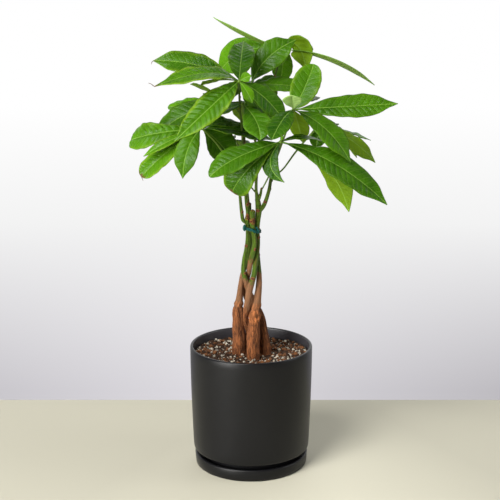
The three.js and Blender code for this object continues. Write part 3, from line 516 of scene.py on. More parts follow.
def add_node(tree, kind, inputs=None, out=None, **settings):
    """Adds a shader node with its settings and links, and returns its named or first live output."""
    node = tree.nodes.new("ShaderNode" + kind)
    for name, value in settings.items():
        setattr(node, name, value)
    for socket, value in (inputs or {}).items():
        if isinstance(value, bpy.types.NodeSocket):
            tree.links.new(value, node.inputs[socket])
        else:
            node.inputs[socket].default_value = value
    if out is None:
        return next((socket for socket in node.outputs if socket.enabled), None)
    return node.outputs[out]


def new_material(name):
    """An empty node material, its tree, and the place on the object for its patterns."""
    material = bpy.data.materials.new(name)
    material.use_nodes = True
    tree = material.node_tree
    tree.nodes.clear()
    return material, tree, add_node(tree, "TexCoord", out="Object")


def cover(tree, colour, layers):
    """Lays colours over the first, each as its value goes from low to high, up to its share."""
    for value, low, high, share, over in layers:
        mask = add_node(tree, "MapRange", {
            "Value": value, "From Min": low, "From Max": high, "To Max": share})
        colour = add_node(tree, "Mix", {0: mask, 6: colour, 7: over}, data_type="RGBA")
    return colour


def add_surface(tree, colour, roughness, height, relief, shine):
    """Ends a material: a bump of some strength and depth in metres, the shader and the output."""
    strength, depth = relief
    bump = add_node(tree, "Bump", {"Height": height, "Strength": strength, "Distance": depth})
    shader = add_node(tree, "BsdfPrincipled", {
        "Base Color": colour, "Roughness": roughness, "Normal": bump, "Specular IOR Level": shine})
    add_node(tree, "OutputMaterial", {"Surface": shader})


def ceramic_material(name, glaze, shine):
    """Matte black ceramic: a fine tooth, and faint clouds where the glaze is a little thinner."""
    material, tree, place = new_material(name)
    cloud = add_node(tree, "TexNoise", {"Vector": place, "Scale": 22, "Detail": 4})
    tooth = add_node(tree, "TexNoise", {"Vector": place, "Scale": 1400, "Detail": 2})
    colour = cover(tree, rgba(glaze, 0.92), [(cloud, 0.3, 0.7, 1, rgba(glaze, 1.1))])
    gloss = add_node(tree, "MapRange", {
        "Value": cloud, "From Min": 0.3, "From Max": 0.7, "To Min": 0.32, "To Max": 0.4})
    add_surface(tree, colour, gloss, tooth, (0.25, 0.0001), shine)
    return material


def grain_material(name, colour, spread, scale, roughness):
    """Crumbs, chips or grains: each lump a little lighter or darker, with a rough dusty face."""
    material, tree, place = new_material(name)
    lump = add_node(tree, "TexNoise", {"Vector": place, "Scale": scale, "Detail": 3})
    dust = add_node(tree, "TexNoise", {"Vector": place, "Scale": scale * 6, "Detail": 2})
    mixed = cover(tree, rgba(colour, 1 - spread), [(lump, 0.3, 0.7, 1, rgba(colour, 1 + spread))])
    add_surface(tree, mixed, roughness, dust, (0.6, 0.0004), 0.3)
    return material


def bark_material(settings):
    """Stringy brown bark that turns to smooth green stem higher up, with tan scars and callus."""
    material, tree, _ = new_material("Bark and green stem")
    bark, dark = settings.bark, settings.bark_dark
    fibre = add_node(tree, "Attribute", out="Vector", attribute_name="fibre")
    masks = {name: add_node(tree, "Attribute", out="Fac", attribute_name=name)
             for name in STEM_MASKS}
    stretched = add_node(tree, "Mapping", {"Vector": fibre, "Scale": (0.55, 0.55, 0.07)})
    streak = add_node(tree, "TexNoise", {
        "Vector": stretched, "Scale": 1, "Detail": 7, "Roughness": 0.65})
    patch = add_node(tree, "TexNoise", {"Vector": fibre, "Scale": 0.07, "Detail": 3})
    grit = add_node(tree, "TexNoise", {"Vector": fibre, "Scale": 1.3, "Detail": 4})
    # flakes: long plates, each a little lighter or darker, with dark cracks between them
    sway = add_node(tree, "VectorMath", {
        0: grit.node.outputs["Color"], 1: (1.6, 1.6, 3), 2: fibre}, operation="MULTIPLY_ADD")
    laid = add_node(tree, "Mapping", {"Vector": sway, "Scale": (0.6, 0.6, 0.16)})
    flake = add_node(tree, "TexVoronoi", {"Vector": laid, "Scale": 1}, out="Color")
    shade = add_node(tree, "SeparateColor", {0: flake})
    plate = add_node(tree, "MapRange", {"Value": shade, "To Min": 0.62, "To Max": 1.8})
    seam = add_node(tree, "TexVoronoi", {"Vector": laid, "Scale": 1}, feature="DISTANCE_TO_EDGE")
    parting = add_node(tree, "MapRange", {
        "Value": seam, "From Min": 0.02, "From Max": 0.12, "To Min": 0.6, "To Max": 0})
    wood = cover(tree, rgba(dark), [
        (streak, 0.36, 0.62, 1, rgba(bark)), (patch, 0.4, 0.7, 0.55, rgba(bark, 1.5))])
    flaky = add_node(tree, "HueSaturation", {"Color": wood, "Value": plate})
    # over the plates come cracks and peeling strands, and the smoother bark above the rough foot
    split = add_node(tree, "Math", {0: masks["crack"], 1: parting}, operation="MAXIMUM")
    thin = add_node(tree, "Mapping", {"Vector": fibre, "Scale": (1.5, 1.5, 0.14)})
    strand = add_node(tree, "TexNoise", {"Vector": thin, "Scale": 1, "Detail": 3})
    brown = cover(tree, flaky, [
        (split, 0, 1, 1, rgba(dark, 0.5)), (strand, 0.5, 0.6, 0.7, rgba(bark, 2)),
        (masks["smooth"], 0, 1, 0.6, rgba(settings.bark_smooth))])
    # the green skin turns tan in patches and along streaks
    skin = cover(tree, rgba(settings.green, 0.4), [
        (streak, 0.36, 0.62, 1, rgba(settings.green, 1.15)),
        (patch, 0.6, 0.66, 0.45, rgba(bark, 0.9))])
    peeling = cover(tree, rgba(bark, 0.6), [(shade, 0, 1, 1, rgba(bark, 3))])
    # a scar has a tan rim and a dark hollow
    colour = cover(tree, brown, [
        (masks["green"], 0, 1, 1, skin), (masks["scar"], 0.1, 0.4, 1, rgba(bark, 1.6)),
        (masks["scar"], 0.45, 0.8, 1, rgba(settings.scar, 0.7)), (masks["callus"], 0, 1, 1, peeling)])
    gloss = add_node(tree, "MapRange", {"Value": masks["green"], "To Min": 0.85, "To Max": 0.55})
    rough = add_node(tree, "Math", {0: streak, 1: grit}, operation="ADD")
    height = add_node(tree, "Math", {0: parting, 1: -0.8, 2: rough}, operation="MULTIPLY_ADD")
    add_surface(tree, colour, gloss, height, (0.9, 0.0008), 0.25)
    return material


def stalk_material(settings):
    """Smooth green leaf stalk, paler and yellower in soft patches."""
    material, tree, place = new_material("Green leaf stalk")
    patch = add_node(tree, "TexNoise", {"Vector": place, "Scale": 90, "Detail": 3})
    colour = cover(tree, rgba(settings.green, 0.8), [(patch, 0, 1, 1, rgba(settings.green, 1.5))])
    add_surface(tree, colour, 0.42, patch, (0.3, 0.0003), 0.5)
    return material


def tie_material(settings):
    """Teal plastic tie with a faint twist."""
    material, tree, place = new_material("Teal plastic tie")
    twist = add_node(tree, "TexWave", {
        "Vector": place, "Scale": 160, "Distortion": 1.5, "Detail": 1}, out="Fac",
        bands_direction="DIAGONAL")
    colour = cover(tree, rgba(settings.tie, 0.8), [(twist, 0, 1, 1, rgba(settings.tie, 1.2))])
    add_surface(tree, colour, 0.5, twist, (0.4, 0.0003), 0.25)
    return material


def leaf_material(settings, name, upper):
    """Living leaf: pale midrib and side veins, patchy green, light that shines through, dry tips."""
    material, tree, place = new_material(name)
    tone_and_sheen, rib, vein, edge, dry = (
        add_node(tree, "Attribute", out="Fac", attribute_name=key) for key in LEAF_MASKS)
    patch = add_node(tree, "TexNoise", {"Vector": place, "Scale": 60, "Detail": 4})
    fine = add_node(tree, "TexNoise", {"Vector": place, "Scale": 900, "Detail": 3})
    # the tone holds painted sheen and shade as well as each leaflet's own green
    shift = add_node(tree, "Math", {0: patch, 1: 0.8, 2: tone_and_sheen}, operation="MULTIPLY_ADD")
    if upper:
        dark, light = rgba(settings.deep), rgba(settings.fresh)
    else:
        dark, light = rgba(settings.under, 0.65), rgba(settings.under, 1.3)
    # side veins: a thin pale line at every whole number of the vein attribute
    wrapped = add_node(tree, "Math", {0: vein, 1: 0.5, 2: -0.5}, operation="WRAP")
    away = add_node(tree, "Math", {0: wrapped}, operation="ABSOLUTE")
    # between them a fine net of veinlets, which crinkles the blade
    net = add_node(tree, "TexVoronoi", {
        "Vector": place, "Scale": 380, "Randomness": 0.9}, feature="DISTANCE_TO_EDGE")
    veins, veinlets, midrib = (
        add_node(tree, "MapRange", {
            "Value": distance, "From Min": near, "From Max": far, "To Min": strength, "To Max": 0},
            interpolation_type="SMOOTHSTEP")
        for distance, near, far, strength in (
            (away, 0.01, 0.09, 1), (net, 0, 0.22, 0.3), (rib, 0.2, 0.75, 0.6)))
    lines = add_node(tree, "Math", {0: veins, 1: veinlets}, operation="MAXIMUM")
    # tone above 1.3 mixes in the pale colour as painted sheen
    colour = cover(tree, dark, [
        (shift, 0.4, 1.4, 1, light), (tone_and_sheen, 1.3, 2, 1, rgba(settings.young_and_sheen)),
        (lines, 0, 1, 0.3, rgba(settings.rib, 0.7)), (midrib, 0, 1, 1, rgba(settings.rib)),
        (edge, 0, 1, 1, rgba(settings.margin)), (dry, 0, 1, 1, rgba(settings.dry))])
    height = add_node(tree, "Math", {0: lines, 1: -1.2, 2: fine}, operation="MULTIPLY_ADD")
    bump = add_node(tree, "Bump", {
        "Height": height, "Strength": 0.6 if upper else 0.4, "Distance": 0.0003})
    gloss = add_node(tree, "MapRange", {
        "Value": patch, "From Min": 0.3, "From Max": 0.7,
        "To Min": 0.19 if upper else 0.5, "To Max": 0.32 if upper else 0.6})
    shader = add_node(tree, "BsdfPrincipled", {
        "Base Color": colour, "Roughness": gloss, "Normal": bump,
        "Specular IOR Level": 0.17 if upper else 0.12})
    glow = add_node(tree, "Mix", {0: 1, 6: colour, 7: (1, 1, 0.45, 1)}, data_type="RGBA",
                    blend_type="MULTIPLY")
    through = add_node(tree, "BsdfTranslucent", {"Color": glow, "Normal": bump})
    both = add_node(tree, "MixShader", {0: 0.3, 1: shader, 2: through})
    add_node(tree, "OutputMaterial", {"Surface": both})
    return material


def distance_from(tree, value, middle):
    """How far a value lies from the middle, to either side."""
    shifted = add_node(tree, "Math", {0: value, 1: middle}, operation="SUBTRACT")
    return add_node(tree, "Math", {0: shifted}, operation="ABSOLUTE")


def table_material(stage):
    """Matte beige table top with a faint mottling, darkened far away and to the sides by painted shade."""
    material, tree, place = new_material("Matte beige table top")
    mottle = add_node(tree, "TexNoise", {"Vector": place, "Scale": 3, "Detail": 3})
    axes = add_node(tree, "SeparateXYZ", {0: place}).node.outputs
    # painted shade: the top darkens far back and to either side, as the lamps' light falls off
    far = add_node(tree, "MapRange", {
        "Value": axes["Y"], "From Min": -0.3, "From Max": 0.21, "To Max": 0.9})
    side_falloff = add_node(tree, "MapRange", {
        "Value": distance_from(tree, axes["X"], 0.07), "From Min": 0.05, "From Max": 0.5,
        "To Max": 1.4})
    painted_falloff = add_node(tree, "Math", {0: far, 1: side_falloff}, operation="ADD")
    colour = cover(tree, rgba(stage.table, 0.985), [
        (mottle, 0, 1, 1, rgba(stage.table, 1.015)), (painted_falloff, 0, 1, 1, rgba(stage.table, 0.7))])
    shader = add_node(tree, "BsdfPrincipled", {
        "Base Color": colour, "Roughness": 0.7, "Specular IOR Level": 0.2})
    add_node(tree, "OutputMaterial", {"Surface": shader})
    return material


def wall_material(stage):
    """Pale wall whose glow is painted light, brightest high up and behind the plant, with painted shade
    that dims it towards the floor and corners.
    """
    material, tree, place = new_material("Pale wall with painted glow")
    axes = add_node(tree, "SeparateXYZ", {0: place}).node.outputs
    # the emission is painted light: brightest high up, dimmed by painted shade low down and towards the
    # corners
    light = add_node(tree, "MapRange", {
        "Value": axes["Z"], "From Min": -1.17, "From Max": 0.08, "To Min": 0.735})
    low = add_node(tree, "MapRange", {"Value": axes["Z"], "From Min": -0.42, "From Max": -1.17})
    corner_shade = add_node(tree, "MapRange", {
        "Value": distance_from(tree, axes["X"], -0.25), "From Max": 1.5, "To Max": -0.31})
    painted_dimming = add_node(tree, "Math", {0: corner_shade, 1: low, 2: 1}, operation="MULTIPLY_ADD")
    strength = add_node(tree, "Math", {0: light, 1: painted_dimming}, operation="MULTIPLY")
    colour = cover(tree, rgba(stage.wall), [(low, 0, 1, 1, rgba(stage.haze))])
    shader = add_node(tree, "Emission", {"Color": colour, "Strength": strength})
    add_node(tree, "OutputMaterial", {"Surface": shader})
    return material


# ---------- pot, saucer and soil ----------

ROUND_STEPS = 160
SOIL_STEPS = 144
SOIL_RINGS = 56
SOIL_GAP = 0.6  # between the soil and the pot's wall
HEAP = 2  # rise of the soil at its left and right
HEAP_REACH = (36, 64)  # distances from the middle between which it rises
POT_BOTTOM = 21
POT_FLOOR = 27
FOOT_RING = (57, 62)
FOOT_HEIGHT = 4.8
DRAIN_RADIUS = 6
PROFILE_START = 34  # the pot's curved side is drawn from this height up
PROFILE_GAP = 10  # with a point at every so many millimetres
CREASE = 50  # edges sharper than this many degrees stay crisp
SAUCER_FLOOR = 4.5


def pot_outside(pot, height):
    """Outside radius of the pot: widening quickly at the base and hardly at all near the rim."""
    t = (height - POT_BOTTOM) / (pot.rim_height - POT_BOTTOM)
    return pot.base_radius + (pot.rim_radius - pot.base_radius) * math.sin(math.pi / 2 * t)


def make_saucer(pot):
    """A turned dish with a low upright wall and rounded rims."""
    rim, top = pot.saucer_radius, pot.saucer_height
    well = rim - 3.8
    bm = spin_profile([
        (0, 0), (rim - 2.5, 0), (rim - 1, 1.2), (rim - 0.5, 6), (rim, top - 1.4), (rim - 0.5, top - 0.4),
        (rim - 1.4, top), (well + 1.2, top), (well + 0.3, top - 0.4), (well, top - 1.2),
        (well - 1.2, SAUCER_FLOOR + 2.6), (well - 2.4, SAUCER_FLOOR + 0.8), (well - 4, SAUCER_FLOOR + 0.1),
        (well - 6, SAUCER_FLOOR), (0, SAUCER_FLOOR)], ROUND_STEPS, closed=False)
    glaze = ceramic_material("Matte black saucer ceramic", pot.ceramic, 0.25)
    finish_piece(bm, "Saucer", [glaze], ["saucer"], crease=CREASE)


def make_pot(pot):
    """A turned pot with its foot ring, drain hole and rounded rim, and a lighter colour inside as painted
    sheen.
    """
    top, rim, base = pot.rim_height, pot.rim_radius, pot.base_radius
    outside = [(pot_outside(pot, h), h) for h in range(PROFILE_START, int(top) - 3, PROFILE_GAP)]
    inside = [(radius - pot.wall, height) for radius, height in reversed(outside)]
    bm = spin_profile([
        (DRAIN_RADIUS, POT_BOTTOM), (FOOT_RING[0], POT_BOTTOM), (FOOT_RING[0], FOOT_HEIGHT),
        (FOOT_RING[1], FOOT_HEIGHT), (FOOT_RING[1], POT_BOTTOM), (base - 3, POT_BOTTOM),
        (base - 1.4, POT_BOTTOM + 0.3), (base - 0.5, POT_BOTTOM + 1.2), (base, POT_BOTTOM + 3),
        *outside, (rim, top - 1.8), (rim - 0.35, top - 0.7), (rim - 1.1, top - 0.1), (rim - 1.9, top),
        (rim - pot.wall + 0.9, top - 0.1), (rim - pot.wall + 0.2, top - 0.7),
        (rim - pot.wall, top - 1.8), *inside, (base - pot.wall - 3, POT_FLOOR + 3),
        (base - pot.wall - 8, POT_FLOOR), (DRAIN_RADIUS, POT_FLOOR)], ROUND_STEPS, closed=True)
    # faces of the inner wall take the lighter colour, painted sheen for the light they reflect
    for face in bm.faces:
        centre = face.calc_center_median()
        inward = face.normal.xy.dot(centre.xy) < 0 and centre.xy.length > base - pot.wall - 3
        face.material_index = int(inward and POT_FLOOR < centre.z < top - 1)
    glazes = [ceramic_material("Matte black ceramic", pot.ceramic, 0.25),
              ceramic_material("Black glaze with painted inner sheen", pot.inner_sheen, 0.5)]
    finish_piece(bm, "Pot", glazes, ["pot"], crease=CREASE)


def soil_height(soil, x, y):
    """Height of the soil's surface at a place: three sizes of hump, and heaped to the sides."""
    coarse = math.sin(0.11 * x + 1.3) * math.cos(0.13 * y - 0.4)
    middle = math.sin(0.31 * x - 0.27 * y) * math.cos(0.24 * x + 0.35 * y + 2)
    fine = math.sin(0.62 * x + 0.4 * y + 0.7) * math.sin(0.55 * y - 0.45 * x)
    heaped = HEAP * smoothstep(abs(x), *HEAP_REACH)
    return soil.height + heaped + soil.relief * (0.8 * coarse + middle + 0.8 * fine)


def make_soil(pot, soil):
    """The body of the potting mix: its top follows the relief, its side the pot's wall."""
    edge = pot_outside(pot, soil.height) - pot.wall - SOIL_GAP
    rings = [(edge * k / SOIL_RINGS, soil.height) for k in range(SOIL_RINGS + 1)]
    side = [(pot_outside(pot, h) - pot.wall - SOIL_GAP, h) for h in (95, 36)]
    floor = POT_FLOOR + CLEARANCE
    bm = spin_profile([*rings, *side, (pot.base_radius - pot.wall - 7, floor), (0, floor)],
                      SOIL_STEPS, closed=False)
    for vertex in bm.verts:
        if vertex.co.z > soil.height - 1:
            x, y = vertex.co.xy
            rough = noise.noise((x * 0.5, y * 0.5, 0)) + 0.6 * noise.noise((x * 1.1, y * 1.1, 4))
            vertex.co.z = soil_height(soil, x, y) + 0.7 * rough * (vertex.co.xy.length < edge - 0.5)
    peat = grain_material("Damp peat", soil.peat, 0.5, 350, 0.95)
    finish_piece(bm, "Soil", [peat], ["soil"])


def soil_spot(rng, soil, reach, stems):
    """A random place on the soil that is clear of the stems."""
    while True:
        radius, angle = reach * math.sqrt(rng.random()), 2 * math.pi * rng.random()
        x, y = radius * math.cos(angle), radius * math.sin(angle)
        if all((Vector((x, y)) - foot).length > width for foot, width in stems):
            return Vector((x, y, soil_height(soil, x, y)))


def scatter(soil, pot, seed, count, sizes, flatness, sink, name, material):
    """Small faceted lumps on the soil, each turned, stretched and pressed in by its own amount."""
    rng = random.Random(seed)
    reach = pot_outside(pot, soil.height) - pot.wall - 2 * SOIL_GAP
    stems = [(Vector(s["main"][1][:2]), s["main"][1][3] + SOIL_GAP) for s in STEMS.values()]
    pieces = []
    whole = bmesh.new()
    for _ in range(count):
        size = blend(*sizes, rng.random() ** 2.2) / 2
        spot = soil_spot(rng, soil, reach - size, stems)
        turn = Matrix.Rotation(rng.uniform(0, 2 * math.pi), 4, "Z") @ Matrix.Rotation(
            rng.uniform(-0.5, 0.5), 4, "X") @ Matrix.Rotation(rng.uniform(-0.5, 0.5), 4, "Y")
        stretch = Matrix.Diagonal((1, rng.uniform(0.45, 0.95), blend(flatness, 1, 0.4 * rng.random()), 1))
        spot.z += size * flatness * sink
        pieces.append(Matrix.Translation(spot) @ turn @ stretch @ Matrix.Scale(size, 4))
    lump = bmesh.new()
    for matrix in pieces:
        lump.clear()
        bmesh.ops.create_icosphere(lump, subdivisions=1, radius=1)
        for vertex in lump.verts:
            vertex.co *= rng.uniform(0.75, 1.2)
        lump.transform(matrix)
        join(whole, lump)
    lump.free()
    finish_piece(whole, name, [material], flat=True)


# ---------- stems and tie ----------

FOOT_EASES = (190, 215)  # heights between which the foot's furrows grow shallower
CRACKS_EASE = (200, 225)  # the same for its cracks
SMOOTH_STARTS = (198, 212)  # heights between which the smooth bark begins
FIBRE_RADIUS = 7  # the bark's pattern is laid out on a straight rod this thick
FIBRE_STRETCH = 0.09  # and drawn out along it
SCAR_GAP = 17  # distance between leaf scars along a green stem
SCAR_TURN = 2.4  # angle in radians from one scar to the next round the stem
SCAR_HALF = (2.2, 1.5)  # half of a scar's size round and along the stem
GREEN_RADIUS = 2.6  # usual radius of a green stem
STUB_CLEAR = 12  # an end this far from every leaf stalk is a cut stub


def cut_ends(stem):
    """The ends of a stem that carry no leaf: brown stubs where old shoots were cut."""
    leafy = [Vector(leaf["petiole"][0]) for leaf in LEAVES.values()]
    ends = [Vector(stations[-1][:3]) for stations in (stem["main"], *stem["branches"])]
    return [end for end in ends if all((end - start).length > STUB_CLEAR for start in leafy)]


def scar_at(angle, length, point, seed):
    """1 on a leaf scar, 0 off it. The scars follow one another round and up the stem."""
    nearest = round(length / SCAR_GAP)
    gap = (angle - nearest * SCAR_TURN - seed + math.pi) % (2 * math.pi) - math.pi
    spread = math.hypot(gap * GREEN_RADIUS / SCAR_HALF[0],
                        (length - nearest * SCAR_GAP) / SCAR_HALF[1])
    return smoothstep(1.3 - spread + 0.7 * noise.noise(point * 0.9), 0, 0.8)


def callus_at(stem, point):
    """How much of the surface is callus, and how much is the dark seam of a graft below it."""
    callus = seam = 0
    if stem.get("callus"):
        x, y, height, size = stem["callus"]
        away = (point - Vector((x, y, height))).length + 4 * noise.noise(point * 0.35)
        callus = smoothstep(size - away, 0, 3)
    if stem.get("graft"):
        off = point.z - stem["graft"] - 2.5 * noise.noise(point * 0.22)
        seam = smoothstep(1.6 - abs(off), 0, 1.2)
        callus = max(callus, 0.45 * smoothstep(off, 0.8, 3) * (1 - smoothstep(off, 5, 9)))
    return callus, seam


def stem_surface(stem, settings, layers, seed):
    """Relief and colour masks of a stem: furrowed bark low down, smooth green with scars above."""
    green_from = stem["green_from"]
    stubs = cut_ends(stem)

    def surface(vertex, angle, length, point):
        z = point.z
        green = smoothstep(z + 6 * noise.noise(point * 0.3), green_from - 4, green_from + 4)
        rough = blend(1, 0.35, smoothstep(z, *FOOT_EASES)) * blend(1, 0.15, green)
        fibre = Vector((math.cos(angle) * FIBRE_RADIUS, math.sin(angle) * FIBRE_RADIUS, length))
        along = Vector((fibre.x, fibre.y, fibre.z * FIBRE_STRETCH))
        furrow = noise.noise(along * 0.42 + Vector((seed * 9, 0, 0)))
        fine = noise.noise(along * 1.1 + Vector((0, seed * 7, 3)))
        knob = noise.noise(fibre * 0.11 + Vector((seed, 0, 5)))
        depth = 0.85 * (1 - green) * blend(1, 0.5, smoothstep(z, *CRACKS_EASE))
        crack = depth * smoothstep(-furrow - 0.5 * fine, 0.08, 0.45)
        scar = scar_at(angle, length, point, seed) * smoothstep(z, green_from - 20, green_from + 4)
        ragged = 4 + 3 * noise.noise(point * 0.8)
        cut = max((smoothstep(ragged - (point - end).length, 0, 2) for end in stubs), default=0)
        callus, seam = callus_at(stem, point)
        vertex[layers["fibre"]] = fibre + Vector((seed * 31, 0, 0))
        vertex[layers["green"]] = green
        vertex[layers["smooth"]] = smoothstep(z + 5 * noise.noise(point * 0.2), *SMOOTH_STARTS)
        vertex[layers["scar"]] = max(scar, 0.85 * cut)
        vertex[layers["callus"]] = callus
        fold = smoothstep(callus, 0.2, 0.6) * smoothstep(-noise.noise(point * 0.55), 0.05, 0.3)
        vertex[layers["crack"]] = max(crack * (1 - callus), 0.8 * fold, 0.8 * seam)
        ridges = settings.bark_relief * (furrow + 0.45 * fine + 0.5 * knob) * rough
        lumps = callus * (0.8 + 2.2 * noise.noise(point * 0.55))
        return ridges * (1 - 0.8 * callus) + 0.7 * scar + 0.5 * cut + lumps - 0.8 * seam

    return surface


def make_stem(name, settings, material, seed):
    """One stem with its branches, each a tube with the bark's relief."""
    stem = STEMS[name]
    bm, layers = new_bmesh(STEM_MASKS)
    layers["fibre"] = bm.verts.layers.float_vector.new("fibre")
    surface = stem_surface(stem, settings, layers, seed)
    add_tube(bm, smooth_path(stem["main"], settings.ring_gap), settings.sides, surface)
    for stations in stem["branches"]:
        add_tube(bm, smooth_path(stations, settings.ring_gap), settings.sides // 2, surface)
    bmesh.ops.recalc_face_normals(bm, faces=bm.faces)
    title = "Stem_" + name.removeprefix("stem_")
    finish_piece(bm, title, [material], [name])


TIE_HEIGHT = 301
TIE_SLOPE = -0.4
TIE_REACH = 9  # half the bundle's width at the tie
TIE_RADIUS = 1
TIE_STEPS = 48
TIE_SIDES = 14
TIE_EASING = 3  # times that the loop is smoothed
TIE_SPACING = 1.8  # between the two turns of the cord
TIE_KNOT = [
    [(-6.6, -8.6, 302, 1.2), (-8.6, -9.4, 305, 1.4), (-7.6, -10.2, 308, 1.2)],
    [(-7.4, -9.4, 307, 1.2), (-9, -9.8, 303, 1.4), (-7.2, -10, 300, 1.2)],
    [(7.6, -6.2, 296, 1.2), (8.6, -7, 299, 1.2), (7, -8.4, 303.5, 1.2), (5.6, -9.4, 305.5, 1)],
]


def stem_at(stations, height):
    """Centre and radius of a stem where it passes a height."""
    path = smooth_path(stations, 2)
    point, radius = min(path, key=lambda item: abs(item[0].z - height))
    return point, radius


def make_tie(settings):
    """A cord pulled twice round the bundle, with its knot at the left and its end at the right."""
    bm, _ = new_bmesh()
    hull = []
    for k in range(TIE_STEPS):
        angle = 2 * math.pi * k / TIE_STEPS
        outward = Vector((math.cos(angle), math.sin(angle), 0))
        height = TIE_HEIGHT + TIE_SLOPE * TIE_REACH * outward.x
        reaches = []
        for stem in STEMS.values():
            point, radius = stem_at(stem["main"], height)
            reach = outward * (radius + CLEARANCE + TIE_RADIUS)
            reaches.append(Vector((point.x, point.y, height)) + reach)
        hull.append(max(reaches, key=lambda p: p.dot(outward)))
    for _ in range(TIE_EASING):
        hull = [(hull[k - 1] + 2 * hull[k] + hull[(k + 1) % TIE_STEPS]) / 4 for k in range(TIE_STEPS)]

    def twist(vertex, angle, length, point):
        return 0.08 * math.sin(3 * angle + length * 1.6)

    for turn in (-1, 1):
        raised = [p + Vector((0, 0, turn * TIE_SPACING / 2)) for p in hull + hull[:2]]
        add_tube(bm, [(p, TIE_RADIUS) for p in raised], TIE_SIDES, twist)
    for stations in TIE_KNOT:
        add_tube(bm, smooth_path(stations, 0.7), TIE_SIDES, twist)
    bmesh.ops.recalc_face_normals(bm, faces=bm.faces)
    finish_piece(bm, "Tie", [tie_material(settings)], ["tie"])


# ---------- leaves ----------

UPPER, UNDER, STALK = range(3)  # a leaf's materials in their order
STALK_SHARE = 0.04  # part of a leaflet's length that is its own short stalk
BASE_HALF = 0.9  # least half width at the hub
TIP_HALF = 0.45  # least half width at the tip
NARROW = 8  # a leaflet no wider than this has as many cells across
VEIN_LEAN = (0.55, 0.012)  # how far a side vein leans forward, and how it bends more outwards
GROOVE_DEPTH = 0.3  # of the groove over the midrib
GROOVE_HALF = 0.7
HUB_RADIUS = 2.2
PETIOLE_RADIUS = 1.0
STALK_SIDES = 20
STALK_GAP = 1.5  # between rings along a stalk


def outline(t, point, base):
    """Half the blade's width along the midrib, 0 at the hub and 1 at the tip."""
    s = max((t - STALK_SHARE) / (1 - STALK_SHARE), 0)
    taper = 0.45 + 0.45 * point
    oval = s ** base * (1 - s) ** taper
    widest = base / (base + taper)
    full = widest ** base * (1 - widest) ** taper
    return (1 - 0.35 * point * smoothstep(t, 0.78, 1)) * oval / full


def add_blade(bm, hub, spec, leaves, layers, seed):
    """One leaflet: a thin blade with a grooved midrib, swelling between its side veins."""
    tip, bow, facing = Vector(spec["tip"]), Vector(spec["bow"]), Vector(spec["face"])
    pull = bow * 2 + tip * 0.5
    rise = math.tan(math.radians(spec["fold"]))
    phase = 0.05 * (tip.x - tip.z)
    length = tip.length * 1.03
    rows = max(round(length / leaves.row_gap), 6)
    cells = leaves.cells if spec["width"] > NARROW else NARROW
    gap = leaves.vein_gap * blend(0.8, 1, min(spec["width"] / 30, 1))
    lines = []
    for row in range(rows + 1):
        t = row / rows
        middle = hub + pull * (2 * t * (1 - t)) + tip * t * t
        along = (pull * (2 - 4 * t) + tip * (2 * t)).normalized()
        up = (facing - along * facing.dot(along)).normalized()
        half = spec["width"] / 2 * outline(t, spec["point"], spec["base"])
        half = max(half, blend(BASE_HALF, TIP_HALF, t))
        lines.append((t, middle, up, along.cross(up), half))

    def place(vertex, column, row):
        t, middle, up, side, half = lines[row]
        c = 2 * column / cells - 1
        q = math.copysign(abs(c) ** 1.35, c)
        rib = half * abs(q)
        stray = 1.6 * noise.noise(Vector((t * length * 0.05, c, seed + 7)))
        start = t * length - (VEIN_LEAN[0] * rib + VEIN_LEAN[1] * rib * rib) + stray
        vein = start / gap + (0.5 if q > 0 else 0)
        swell = abs(math.sin(math.pi * vein)) ** 0.7
        inner = spec["quilt"] * smoothstep(rib, 0.8, 4) * (1 - abs(q) ** 3) * smoothstep(half, 1.5, 7)
        inner *= 1 + 0.8 * noise.noise(Vector((t * length * 0.09, c * 1.4, seed)))
        wave = spec["wave"] * q * q * min(half / 8, 1) * math.sin(phase + 14 * t + 2 * q)
        ripple = 0.5 * min(spec["wave"], 1) * abs(q) ** 3 * smoothstep(half, 3, 9)
        ripple *= math.sin(phase * 3 + 37 * t + 3 * q)
        groove = -GROOVE_DEPTH * math.exp(-(rib / GROOVE_HALF) ** 2) * smoothstep(half, 1.2, 4)
        lift = half * abs(q) * rise + wave + ripple + leaves.quilting * swell * inner + groove
        edge = half * (1 + 0.012 * math.sin(47 * t + seed + 2 * q))
        vertex[layers["rib"]] = rib
        vertex[layers["vein"]] = vein if rib > 0.3 else 0.5
        vertex[layers["tone_and_sheen"]] = spec["tone_and_sheen"] + 0.05 * math.sin(seed + 5 * t) + 0.16 * (t - 0.5)
        ragged = abs(q) + 0.1 * noise.noise(Vector((t * 9, q * 2, seed)))
        vertex[layers["edge"]] = spec["rim"] * smoothstep(ragged, 0.68, 1) * smoothstep(half, 1, 4)
        vertex[layers["dry"]] = spec["dry"] * smoothstep(t + 0.02 * math.sin(9 * q), 0.955, 0.99)
        return middle + side * (edge * q) + up * (lift + leaves.thickness / 2)

    add_grid(bm, cells, rows, place)
    bm.normal_update()
    if sum((face.normal for face in bm.faces), Vector()).dot(facing) < 0:
        bmesh.ops.reverse_faces(bm, faces=bm.faces)
    upper = list(bm.faces)
    bmesh.ops.solidify(bm, geom=upper, thickness=leaves.thickness)
    bm.normal_update()
    for face in bm.faces:
        row = min(range(0, rows + 1, 4), key=lambda r: (lines[r][1] - face.calc_center_median()).length)
        face.material_index = UNDER if face.normal.dot(lines[row][2]) < -0.2 else UPPER


def add_thread(bm, start, drop):
    """A dry brown thread that a withered tip leaves hanging."""
    bend = start + Vector(drop) * 0.5 + Vector((0, 0, 0.8))
    stations = [(*start, 0.5), (*bend, 0.35), (*(start + Vector(drop)), 0.25)]
    add_tube(bm, smooth_path(stations, 0.8), 8, lambda vertex, angle, length, point: 0)


